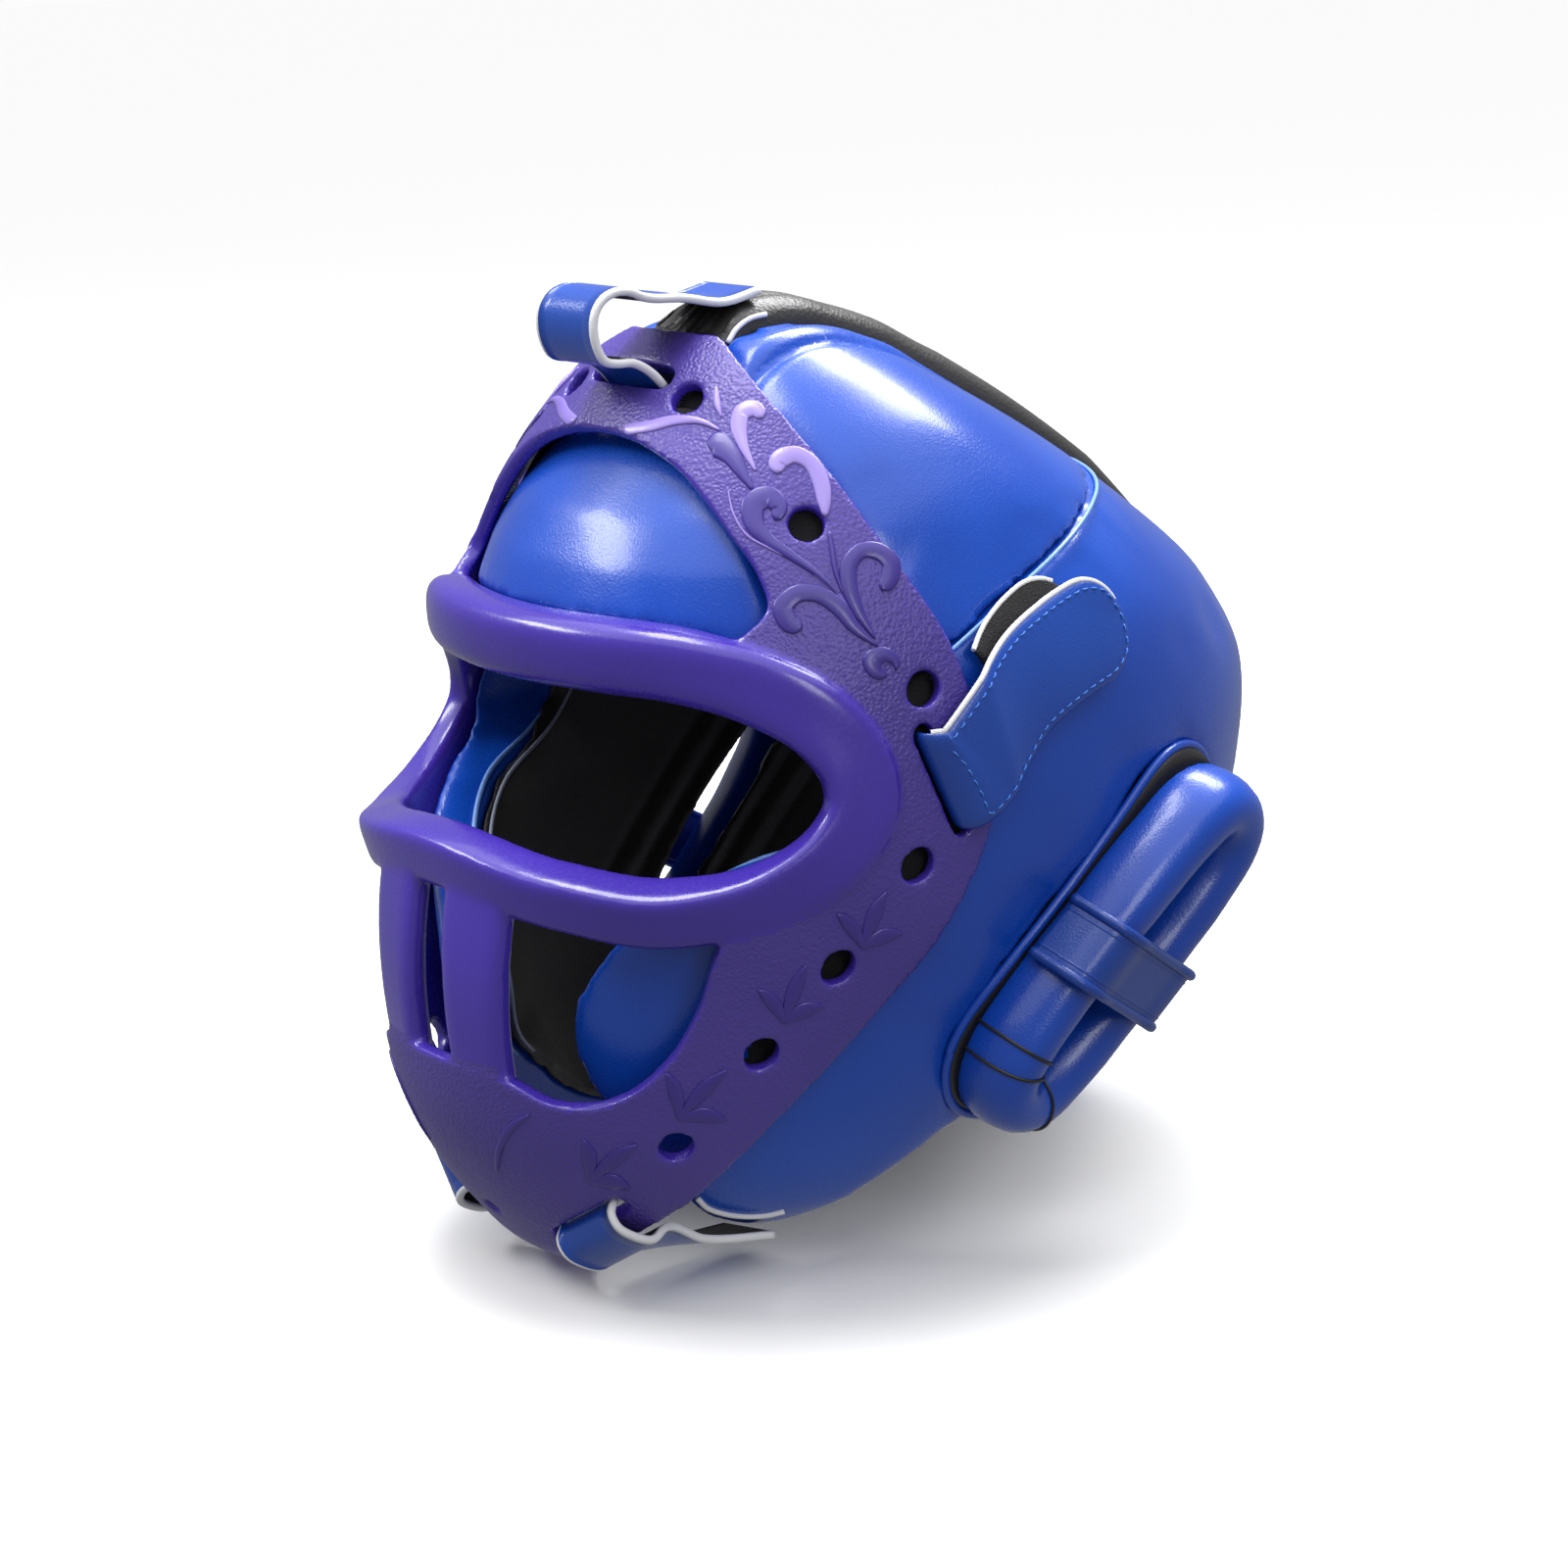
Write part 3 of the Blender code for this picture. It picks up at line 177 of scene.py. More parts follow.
# turn, height, and the lip's depth and width there in shares of its sizes
EYE_LIP = (
    (0, 0.714, 1.15, 1.15), (18, 0.713, 1.15, 1.15), (34, 0.702, 1.05, 1.15), (46, 0.676, 0.85, 1.15),
    (55, 0.637, 0.65, 1.15), (60, 0.590, 0.60, 1.15), (61, 0.548, 0.60, 1.15), (58, 0.505, 0.62, 1.10),
    (51, 0.474, 0.75, 1.0), (40, 0.463, 0.95, 0.95), (22, 0.482, 1.0, 0.90), (0, 0.503, 1.0, 0.90),
)


def blended(rows, places, wanted):
    """Rows at the wanted places of a smooth curve through the given ones."""
    slopes = np.gradient(rows, places, axis=0)
    low = np.clip(np.searchsorted(places, wanted) - 1, 0, len(places) - 2)
    span = (places[low + 1] - places[low])[:, None]
    s = (wanted - places[low])[:, None] / span
    start = (1 + 2 * s) * (1 - s) ** 2 * rows[low] + s * (1 - s) ** 2 * span * slopes[low]
    end = s * s * (3 - 2 * s) * rows[low + 1] + s * s * (s - 1) * span * slopes[low + 1]
    return start + end


def unit(rows):
    """Directions scaled to a length of one."""
    return rows / np.linalg.norm(rows, axis=-1, keepdims=True)


def smooth_line(points, step, closed=False):
    """Evenly spaced points on a smooth curve through the given ones."""
    points = np.array(points, dtype=float)
    if closed:
        points = np.vstack((points[-3:], points, points[:3]))
    lengths = np.linalg.norm(np.diff(points, axis=0), axis=1)
    places = np.concatenate(((0.0,), np.cumsum(lengths)))
    first, last = (places[3], places[-3]) if closed else (places[0], places[-1])
    count = max(int(round((last - first) / step)), 2)
    wanted = np.linspace(first, last, count + 1)[: count if closed else count + 1]
    return blended(points, places, wanted)


def make_form(rows, height, half_width, front, rear):
    """Form whose level sections blend smoothly between the given ones."""
    rows = np.array(rows)
    shares = np.linspace(rows[0, 0], 1.0, 521)
    table = blended(rows[:, 1:], rows[:, 0], shares) * (half_width, front, rear, rear)
    return Form(height, shares, *table.T)


def level_sizes(form, share):
    """Half width, front, rear and widest place of a form's level sections."""
    return [np.interp(share, form.shares, column) for column in form[2:]]


def form_points(form, turn, share):
    """Points of a form's outer face: turn 0 is the front, a quarter turn the wearer's left."""
    turn, share = np.asarray(turn, dtype=float), np.asarray(share, dtype=float)
    half_width, front, rear, widest = level_sizes(form, share)
    sine, cosine = np.sin(turn), np.cos(turn)
    power = 2 / np.where(cosine >= 0, FRONT_SQUARENESS, REAR_SQUARENESS)
    x = half_width * np.sign(sine) * np.abs(sine) ** power
    reach = np.where(cosine >= 0, front + widest, rear - widest)
    y = widest - reach * np.sign(cosine) * np.abs(cosine) ** power
    return np.stack((x, y, share * form.height + 0.0 * x), axis=-1) + MODEL_SHIFT


def form_normals(form, turn, share):
    """Outward directions of a form's outer face."""
    turn, share = np.asarray(turn, dtype=float), np.asarray(share, dtype=float)
    along = form_points(form, turn + 0.02, share) - form_points(form, turn - 0.02, share)
    high, low = np.minimum(share + 0.004, 1.0), np.maximum(share - 0.004, form.shares[0])
    normal = np.cross(along, form_points(form, turn, high) - form_points(form, turn, low))
    return unit(normal)


def form_tree(form, turns, shares):
    """Fine net of a form's outer face, to look up the nearest place and the place a sight line meets."""
    grid_turn, grid_share = np.meshgrid(turns, shares)
    places = form_points(form, grid_turn, grid_share).reshape(-1, 3)
    across = len(turns)
    quads = []
    for row in range(len(shares) - 1):
        for i in range(across - 1):
            a = row * across + i
            quads.append((a, a + 1, a + 1 + across, a + across))
    return BVHTree.FromPolygons([tuple(p) for p in places], quads)


def mirrored(half):
    """Closed outline from its half, whose first and last points lie on the median."""
    return [tuple(row) for row in half] + [(-row[0], *row[1:]) for row in half[-2:0:-1]]


def map_loop(rows, step):
    """Outline rows of turn and height share as an even loop in the mask's flat map."""
    points = [(math.radians(turn) * MAP_SCALE, share * SHELL_HEIGHT) for turn, share in rows]
    return smooth_line(points, step, closed=True)


def map_slot(slot, sides):
    """Slot or hole with round ends in the flat map, true to size on the mask."""
    turn = math.radians(slot.turn)
    half_width = np.interp(slot.height, mask_form.shares, mask_form.half_width)
    wide_step, step = slot.length / 2 / half_width, 0.01
    ends = form_points(mask_form, np.array((turn - wide_step, turn + wide_step)), slot.height)
    up = form_points(mask_form, turn, np.array((slot.height - step, slot.height + step)))
    stretch_across = 2 * wide_step * MAP_SCALE / np.linalg.norm(ends[1] - ends[0])
    stretch_up = 2 * step * SHELL_HEIGHT / np.linalg.norm(up[1] - up[0])
    straight = (slot.length - slot.width) / 2
    angle = 2 * math.pi * (np.arange(sides) + 0.5) / sides
    a = slot.width / 2 * np.cos(angle)
    b = slot.width / 2 * np.sin(angle) + np.copysign(straight, np.sin(angle))
    x = a * math.cos(slot.lean) + b * math.sin(slot.lean)
    y = b * math.cos(slot.lean) - a * math.sin(slot.lean)
    middle = np.array((turn * MAP_SCALE, slot.height * SHELL_HEIGHT))
    return middle + np.stack((x * stretch_across, y * stretch_up), axis=1)


def inside(points, loop):
    """Flags of the flat points that lie inside a closed flat loop."""
    x, y = points[:, 0:1], points[:, 1:2]
    (x0, y0), (x1, y1) = loop.T, np.roll(loop, -1, axis=0).T
    rise = np.where(y1 == y0, 1.0, y1 - y0)
    crossing = (x1 - x0) * (y - y0) / rise + x0
    return np.sum(((y0 > y) != (y1 > y)) & (x < crossing), axis=1) % 2 == 1


def new_piece(name, vertices, faces):
    """Mesh piece at the origin, with its faces turned outward."""
    mesh = bpy.data.meshes.new(name)
    mesh.from_pydata([tuple(v) for v in vertices], [], faces)
    work = bmesh.new()
    work.from_mesh(mesh)
    bmesh.ops.recalc_face_normals(work, faces=work.faces)
    work.to_mesh(mesh)
    work.free()
    piece = bpy.data.objects.new(name, mesh)
    bpy.context.scene.collection.objects.link(piece)
    return piece


def skin(name, rows, closed=False):
    """Skin over rows of section points, capped at both ends or joined end to end."""
    count, sides = rows.shape[:2]
    faces = []
    for i in range(count if closed else count - 1):
        j = (i + 1) % count
        for k in range(sides):
            n = (k + 1) % sides
            faces.append((i * sides + k, i * sides + n, j * sides + n, j * sides + k))
    if not closed:
        faces += [tuple(range(sides)), tuple(range((count - 1) * sides, count * sides))]
    return new_piece(name, rows.reshape(-1, 3), faces)


def sweep(name, centres, across, out, rings, closed):
    """Skin along a line of stations; each ring gives its (across, out) offsets."""
    centres, across, out, rings = (np.asarray(v, dtype=float) for v in (centres, across, out, rings))
    rows = centres[:, None] + rings[..., :1] * across[:, None] + rings[..., 1:] * out[:, None]
    return skin(name, rows, closed)


def rounded_ring(half_across, half_out, sides, squareness):
    angle = 2 * math.pi * (np.arange(sides) + 0.5) / sides
    c, s = np.cos(angle), np.sin(angle)
    a = half_across * np.sign(c) * np.abs(c) ** (2 / squareness)
    b = half_out * np.sign(s) * np.abs(s) ** (2 / squareness)
    return np.stack((a, b), axis=1)


def only(piece):
    """Selects one piece alone and makes it active."""
    bpy.ops.object.select_all(action="DESELECT")
    piece.select_set(True)
    bpy.context.view_layer.objects.active = piece


def fused(pieces, name):
    """Joins pieces into one object."""
    only(pieces[0])
    for piece in pieces:
        piece.select_set(True)
    if len(pieces) > 1:
        bpy.ops.object.join()
    made = bpy.context.view_layer.objects.active
    made.name = name
    made.data.name = name
    return made


def relax(piece, passes):
    """Smooths a skin with a few even passes."""
    only(piece)
    step = piece.modifiers.new("relax", "SMOOTH")
    step.factor = 0.5
    step.iterations = passes
    bpy.ops.object.modifier_apply(modifier="relax")


def softened(piece, voxel, passes):
    """New even skin over the piece, with its edges rounded by smoothing passes."""
    only(piece)
    piece.data.remesh_voxel_size = voxel
    piece.data.remesh_voxel_adaptivity = 0.0
    bpy.ops.object.voxel_remesh()
    relax(piece, passes)
    bpy.ops.object.shade_smooth()
    return piece


mask_form = make_form(MASK_SECTIONS, SHELL_HEIGHT, MASK_HALF_WIDTH, MASK_FRONT, SHELL_REAR)
mask_tree = form_tree(mask_form, np.radians(np.arange(-112.0, 112.1, 1.4)), np.linspace(0.0, 1.0, 171))

BAND_STEP = 0.0042
RIM_STEP = 0.0026
MASK_VOXEL = 0.00125
rim = map_loop(mirrored(MASK_RIM), RIM_STEP)
holes = [map_loop(mirrored(FOREHEAD_OPENING), RIM_STEP), map_loop(mirrored(FACE_OPENING), RIM_STEP)]
holes.append(map_slot(CHIN_HOLE, 14))
holes.append(map_slot(TOP_SLOT, 30))
for side in (1, -1):
    for turn, height in STRAP_HOLES:
        hole = Slot(turn, height, STRAP_HOLE_SIZE, STRAP_HOLE_SIZE, 0.0)
        holes.append(map_slot(hole, 22) * (side, 1))
    for slot in (SIDE_SLOT, LOWER_SLOT):
        holes.append(map_slot(slot, 30) * (side, 1))
loops = [rim] + holes
low, high = rim.min(axis=0), rim.max(axis=0)
rows = []
for row, y in enumerate(np.arange(low[1], high[1], BAND_STEP * 0.87)):
    places = np.arange(BAND_STEP * (0.5 if row % 2 else 1.0), high[0], BAND_STEP)
    places = np.concatenate((-places[::-1], places) if row % 2 else (-places[::-1], (0.0,), places))
    rows.append(np.stack((places, np.full(len(places), y)), axis=1))
grid = np.vstack(rows)
grid = grid[inside(grid, rim)]
for loop in loops:
    near = np.min(np.linalg.norm(grid[:, None] - loop[None], axis=2), axis=1)
    keep = near > BAND_STEP * 0.5
    if loop is not rim:
        keep &= ~inside(grid, loop)
    grid = grid[keep]
flat, edges, start = [], [], 0
for loop in loops:
    flat += [tuple(p) for p in loop]
    edges += [(start + i, start + (i + 1) % len(loop)) for i in range(len(loop))]
    start += len(loop)
flat += [tuple(p) for p in grid]
net = delaunay_2d_cdt([Vector(p) for p in flat], edges, [], 0, 1e-7)
net_places = np.array([tuple(p) for p in net[0]])
triangles = np.array([tuple(t) for t in net[2]])
middles = net_places[triangles].mean(axis=1)
keep = inside(middles, rim)
for hole in holes:
    keep &= ~inside(middles, hole)
triangles = triangles[keep]
turns, shares = net_places[:, 0] / MAP_SCALE, np.clip(net_places[:, 1] / SHELL_HEIGHT, 0.0, 1.0)
outer = form_points(mask_form, turns, shares)
inner = outer - MASK_WALL * form_normals(mask_form, turns, shares)
count = len(net_places)
faces = [tuple(t) for t in triangles] + [tuple(t[::-1] + count) for t in triangles]
border = {(a, b) for t in triangles for a, b in ((t[0], t[1]), (t[1], t[2]), (t[2], t[0]))}
faces += [(b, a, a + count, b + count) for a, b in border if (b, a) not in border]
band = new_piece("mask_band", np.vstack((outer, inner)), faces)

# how far the lip's section leans down from the mask's face at each row of EYE_LIP, in degrees,
# and a scale that keeps the leans from counting as length along the lip
EYE_LIP_LEAN = (34, 33, 28, 18, 8, 0, 0, 5, 14, 22, 26, 26)
LEAN_SCALE = 0.0001
LIP_SQUARENESS = ((0.50, 0.62, 0.69), (5.0, 4.5, 3.0))
path = [
    (math.radians(t) * MAP_SCALE, h * SHELL_HEIGHT, d * MASK_WALL, w * MASK_WALL, lean * LEAN_SCALE)
    for (t, h, d, w), lean in zip(mirrored(EYE_LIP), EYE_LIP_LEAN + EYE_LIP_LEAN[-2:0:-1])
]
path = smooth_line(path, 0.003, closed=True)
turns, shares = path[:, 0] / MAP_SCALE, path[:, 1] / SHELL_HEIGHT
depth, width = path[:, 2:3] / MASK_WALL, path[:, 3] / MASK_WALL
normal = form_normals(mask_form, turns, shares)
centres = form_points(mask_form, turns, shares) + (EYE_LIP_PROUD - depth * EYE_LIP_DEPTH / 2) * normal
along = np.roll(centres, -1, axis=0) - np.roll(centres, 1, axis=0)
lean = np.radians(path[:, 4:5] / LEAN_SCALE)
rising = unit(np.array((0.0, 0.0, 1.0)) - normal[:, 2:] * normal)
normal = np.cos(lean) * normal - np.sin(lean) * rising
across = unit(np.cross(along, normal))
normal = unit(np.cross(across, along))
squareness = np.interp(shares, *LIP_SQUARENESS)
rings = [
    rounded_ring(w * EYE_LIP_HEIGHT / 2, d * EYE_LIP_DEPTH / 2, 44, square)
    for w, d, square in zip(width, depth[:, 0], squareness)]
lip = sweep("mask_lip", centres, across, normal, rings, closed=True)

BLADE_PLACE = 0.019
BLADE_SET_BACK = 0.0044
BLADE_HALF_WIDTH = 0.012
BLADE_HALF_DEPTH = 0.004
# height on the mask and width in shares of the blade's
BLADE_STATIONS = ((0.500, 1.0), (0.44, 1.0), (0.37, 0.93), (0.30, 0.87), (0.255, 0.85))
blades = []
for side in (1, -1):
    share, wide = smooth_line(BLADE_STATIONS, 0.02).T
    half_width = np.interp(share, mask_form.shares, mask_form.half_width)
    turn = np.arcsin((BLADE_PLACE / half_width) ** (FRONT_SQUARENESS / 2))
    normal = form_normals(mask_form, turn, share) * (side, 1, 1)
    centres = form_points(mask_form, turn, share) * (side, 1, 1) - BLADE_SET_BACK * normal
    across = unit(np.cross(normal, (0.0, 0.0, 1.0)))
    rings = [rounded_ring(w * BLADE_HALF_WIDTH, BLADE_HALF_DEPTH, 18, 3.6) for w in wide]
    blades.append(sweep("mask_blade", centres, across, normal, rings, closed=False))
mask = fused([band, lip] + blades, "mask_shell")
softened(mask, MASK_VOXEL, passes=6)
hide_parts("face_mask")


def grain_group():
    """Grain of moulded plastic and leather: small soft cells, broken by wrinkles and patches of tone."""
    group = bpy.data.node_groups.new("hide_grain", "ShaderNodeTree")
    group.interface.new_socket(name="Vector", in_out="INPUT", socket_type="NodeSocketVector")
    group.interface.new_socket(name="Cells", in_out="INPUT", socket_type="NodeSocketFloat")
    group.interface.new_socket(name="Wrinkles", in_out="INPUT", socket_type="NodeSocketFloat")
    group.interface.new_socket(name="Height", in_out="OUTPUT", socket_type="NodeSocketFloat")
    group.interface.new_socket(name="Tone", in_out="OUTPUT", socket_type="NodeSocketFloat")
    nodes, links = group.nodes, group.links
    entry, leave = nodes.new("NodeGroupInput"), nodes.new("NodeGroupOutput")
    warp = nodes.new("ShaderNodeTexNoise")
    links.new(entry.outputs["Vector"], warp.inputs["Vector"])
    links.new(entry.outputs["Wrinkles"], warp.inputs["Scale"])
    warp.inputs["Detail"].default_value = 3.0
    cells = nodes.new("ShaderNodeTexVoronoi")
    cells.feature = "SMOOTH_F1"
    cells.inputs["Smoothness"].default_value = 0.6
    cells.inputs["Randomness"].default_value = 1.0
    bend = nodes.new("ShaderNodeMixRGB")
    bend.blend_type = "ADD"
    bend.inputs["Fac"].default_value = 0.0011
    links.new(entry.outputs["Vector"], bend.inputs["Color1"])
    links.new(warp.outputs["Color"], bend.inputs["Color2"])
    links.new(bend.outputs["Color"], cells.inputs["Vector"])
    links.new(entry.outputs["Cells"], cells.inputs["Scale"])
    join = nodes.new("ShaderNodeMath")
    join.operation = "MULTIPLY_ADD"
    join.inputs[1].default_value = 0.55
    links.new(warp.outputs["Fac"], join.inputs[0])
    links.new(cells.outputs["Distance"], join.inputs[2])
    patches = nodes.new("ShaderNodeTexNoise")
    patches.inputs["Scale"].default_value = 14.0
    patches.inputs["Detail"].default_value = 2.0
    links.new(entry.outputs["Vector"], patches.inputs["Vector"])
    links.new(join.outputs["Value"], leave.inputs["Height"])
    links.new(patches.outputs["Fac"], leave.inputs["Tone"])
    return group


hide_grain = grain_group()


def hide(name, colour, deep_colour, roughness, cells, wrinkles, relief, coat=0.0):
    """Grained finish: two tones of one colour in slow patches, grain as relief, gloss varied with it."""
    made = bpy.data.materials.new(name)
    made.use_nodes = True
    nodes, links = made.node_tree.nodes, made.node_tree.links
    shader = nodes["Principled BSDF"]
    place = nodes.new("ShaderNodeTexCoord")
    grain = nodes.new("ShaderNodeGroup")
    grain.node_tree = hide_grain
    grain.inputs["Cells"].default_value = cells
    grain.inputs["Wrinkles"].default_value = wrinkles
    links.new(place.outputs["Object"], grain.inputs["Vector"])
    tone = nodes.new("ShaderNodeMapRange")
    tone.inputs["From Min"].default_value = 0.35
    tone.inputs["From Max"].default_value = 0.65
    links.new(grain.outputs["Tone"], tone.inputs["Value"])
    blend = nodes.new("ShaderNodeMixRGB")
    blend.inputs["Color1"].default_value = (*deep_colour, 1.0)
    blend.inputs["Color2"].default_value = (*colour, 1.0)
    links.new(tone.outputs["Result"], blend.inputs["Fac"])
    links.new(blend.outputs["Color"], shader.inputs["Base Color"])
    gloss = nodes.new("ShaderNodeMapRange")
    gloss.inputs["From Max"].default_value = 1.2
    gloss.inputs["To Min"].default_value = roughness - 0.05
    gloss.inputs["To Max"].default_value = roughness + 0.08
    links.new(grain.outputs["Height"], gloss.inputs["Value"])
    links.new(gloss.outputs["Result"], shader.inputs["Roughness"])
    bump = nodes.new("ShaderNodeBump")
    bump.inputs["Distance"].default_value = relief
    bump.inputs["Strength"].default_value = 0.8
    links.new(grain.outputs["Height"], bump.inputs["Height"])
    links.new(bump.outputs["Normal"], shader.inputs["Normal"])
    shader.inputs["Coat Weight"].default_value = coat
    shader.inputs["Coat Roughness"].default_value = 0.12
    return made


mask_grained = hide(
    "mask_grained_purple", (0.076, 0.048, 0.33), (0.056, 0.036, 0.26), 0.36, 980.0, 190.0, 0.00030)
mask_smooth = hide(
    "mask_smooth_purple", (0.060, 0.030, 0.40), (0.048, 0.024, 0.33), 0.23, 900.0, 60.0, 0.00001, 0.3)

# the lip, the blades and the inner face are smooth; the band and the chin guard are grained
SMOOTH_MARGIN = 0.0006
BLADE_ZONE = (0.0325, 0.079, 0.135)
EDGE_FACING = 0.93
mask.data.materials.append(mask_grained)
mask.data.materials.append(mask_smooth)
lip_line = form_points(mask_form, path[:, 0] / MAP_SCALE, path[:, 1] / SHELL_HEIGHT)
lip_width = path[:, 3] / MASK_WALL * EYE_LIP_HEIGHT / 2
middle = np.zeros(len(mask.data.polygons) * 3)
mask.data.polygons.foreach_get("center", middle)
middle = middle.reshape(-1, 3)
facing = np.zeros(len(mask.data.polygons) * 3)
mask.data.polygons.foreach_get("normal", facing)
facing = facing.reshape(-1, 3)
smooth_face = np.zeros(len(middle), dtype=int)
for begin in range(0, len(middle), 4000):
    part = slice(begin, begin + 4000)
    gap = np.linalg.norm(middle[part, None] - lip_line[None], axis=2)
    nearest = gap.argmin(axis=1)
    smooth_face[part] = gap[np.arange(len(nearest)), nearest] < lip_width[nearest] + SMOOTH_MARGIN
reach, low, high = BLADE_ZONE
on_blades = (np.abs(middle[:, 0]) < reach) & (middle[:, 2] > low) & (middle[:, 2] < high)
smooth_face[on_blades] = 1
# and so is every edge, where the skin turns away from the mask's form
for i in np.flatnonzero(smooth_face == 0):
    _, way, _, _ = mask_tree.find_nearest(Vector(middle[i]))
    smooth_face[i] = np.dot(facing[i], way) < EDGE_FACING
mask.data.polygons.foreach_set("material_index", smooth_face)
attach(mask, "root")

# ---------------------------------------------------------------------------------------------
# Scroll relief: smooth raised leaves and curls moulded on the grained band, alike on both sides.
# Each is drawn along its middle line as the photograph shows it and laid on the mask's face.
# The pale leaves are coloured lighter as a painted highlight, the deep ones darker as painted shade.
# ---------------------------------------------------------------------------------------------
SCROLL_RISE = 0.0006
SCROLL_SPREAD = 1.3
FOCAL_PIXELS = CAMERA_LENS / 36.0 * PHOTO_SIDE


def sight(px, py):
    """Direction from the camera through a place in the photograph."""
    half = PHOTO_SIDE / 2
    way = CAMERA_RIGHT * (px - half) / FOCAL_PIXELS + CAMERA_UP * (half - py) / FOCAL_PIXELS - CAMERA_BACK
    return way / np.linalg.norm(way)


def on_mask(px, py):
    """Place and outward direction where a sight line meets the mask's near face."""
    place, normal, _, _ = mask_tree.ray_cast(Vector(CAMERA_PLACE), Vector(sight(px, py)))
    if place is None:
        return None
    normal = np.array(normal)
    return np.array(place), normal * np.sign(np.dot(normal, CAMERA_BACK))


# middle lines in photograph pixels with the width there: the leaves painted light as highlight, then those
# painted dark as shade
SCROLLS_PAINTED_HIGHLIGHT = (
    ((636, 439, 9), (663, 435, 9), (689, 429, 8), (715, 430, 5), (735, 439, 2)),
    ((731, 394, 2), (731, 407, 6), (736, 426, 1.5)),
    ((779, 426, 10), (770, 417, 13), (757, 421, 14), (754, 434, 14), (758, 453, 9), (771, 481, 2)),
    ((792, 483, 12), (795, 470, 16), (810, 464, 14), (826, 471, 13), (837, 490, 14), (841, 512, 11),
     (842, 527, 4)),
    ((743, 500, 1.2), (748, 523, 1.5), (762, 546, 1.8), (786, 560, 1.8), (814, 574, 1.8), (836, 590, 1.8),
     (860, 612, 1.8), (873, 634, 1.6), (888, 656, 1.0)),
)
SCROLLS_PAINTED_SHADE = (
    ((722, 452, 14), (732, 453, 22), (744, 462, 18), (757, 482, 10), (768, 500, 3)),
    ((791, 531, 8), (795, 518, 14), (784, 507, 18), (770, 513, 20), (769, 532, 17), (783, 550, 11),
     (806, 566, 8), (833, 585, 5), (857, 607, 2)),
    ((899, 602, 10), (908, 590, 15), (909, 575, 15), (897, 563, 14), (879, 562, 13), (867, 575, 14),
     (866, 596, 14), (875, 622, 10), (893, 652, 2)),
    ((819, 641, 10), (806, 636, 16), (799, 621, 17), (811, 607, 15), (834, 606, 14), (855, 619, 14),
     (872, 640, 10), (896, 660, 2)),
    ((904, 691, 6), (893, 684, 13), (890, 674, 16), (902, 668, 13), (913, 674, 8), (915, 684, 3)),
    ((846, 542, 3), (849, 560, 5), (853, 585, 4), (860, 606, 1.5)),
    ((541, 1137, 2), (522, 1150, 7), (510, 1170, 6), (507, 1196, 2)),
)


# root and middle leaf of each spray, in photograph pixels; turn, length and bend of its three leaves
SPRAYS = (
    ((880, 968), (18, -62)), ((800, 1044), (16, -62)), ((692, 1142), (44, -56)), ((600, 1206), (46, -44)),
)
SPRAY_LEAVES = ((-0.62, 0.70, -0.9), (0.0, 1.0, 0.35), (0.62, 0.70, 0.9))
LEAF_WIDTHS = (2.0, 7.0, 11.0, 12.0, 8.0, 1.5)
# place across a leaf and height there, in shares
LEAF_SECTION = ((-1.0, -0.4), (-0.93, 0.5), (-0.75, 0.85), (0.0, 1.0), (0.75, 0.85), (0.93, 0.5), (1.0, -0.4))


def spray(root, reach):
    """Three tapered leaves that fan out of one point, as rows for scroll."""
    heading, length = math.atan2(reach[1], reach[0]), math.hypot(*reach)
    drawn = []
    for turn, share, bend in SPRAY_LEAVES:
        x, y = root
        step = length * share / (len(LEAF_WIDTHS) - 1)
        leaf = []
        for i, wide in enumerate(LEAF_WIDTHS):
            leaf.append((x, y, wide))
            way = heading + turn + bend * i / len(LEAF_WIDTHS)
            x, y = x + step * math.cos(way), y + step * math.sin(way)
        drawn.append(leaf)
    return drawn


def scroll(rows):
    """Raised leaf along a line in the photograph, domed across and tapered at its ends."""
    line = smooth_line(rows, 2.2)
    tangent = unit(np.gradient(line[:, :2], axis=0))
    vertices, faces = [], []
    run = np.concatenate(((0.0,), np.cumsum(np.linalg.norm(np.diff(line[:, :2], axis=0), axis=1))))
    for (px, py, wide), (dx, dy), come, left in zip(line, tangent, run, run[-1] - run):
        wide *= SCROLL_SPREAD
        short_of_full = max(1.0 - 2 * min(come, left) / wide, 0.0)
        wide *= math.sqrt(max(1.0 - short_of_full ** 2, 0.02))
        for share, rise in LEAF_SECTION:
            found = on_mask(px - share * wide / 2 * dy, py + share * wide / 2 * dx)
            if found is None:
                return None
            rise *= min(1.0, 0.4 + wide / 8)
            vertices.append(found[0] + rise * SCROLL_RISE * found[1])
    sides = len(LEAF_SECTION)
    for i in range(len(line) - 1):
        for k in range(sides - 1):
            a = i * sides + k
            faces.append((a, a + 1, a + 1 + sides, a + sides))
        a = i * sides
        faces.append((a + sides - 1, a, a + sides, a + 2 * sides - 1))
    faces += [tuple(range(sides)), tuple(range((len(line) - 1) * sides, len(line) * sides))]
    return vertices, faces
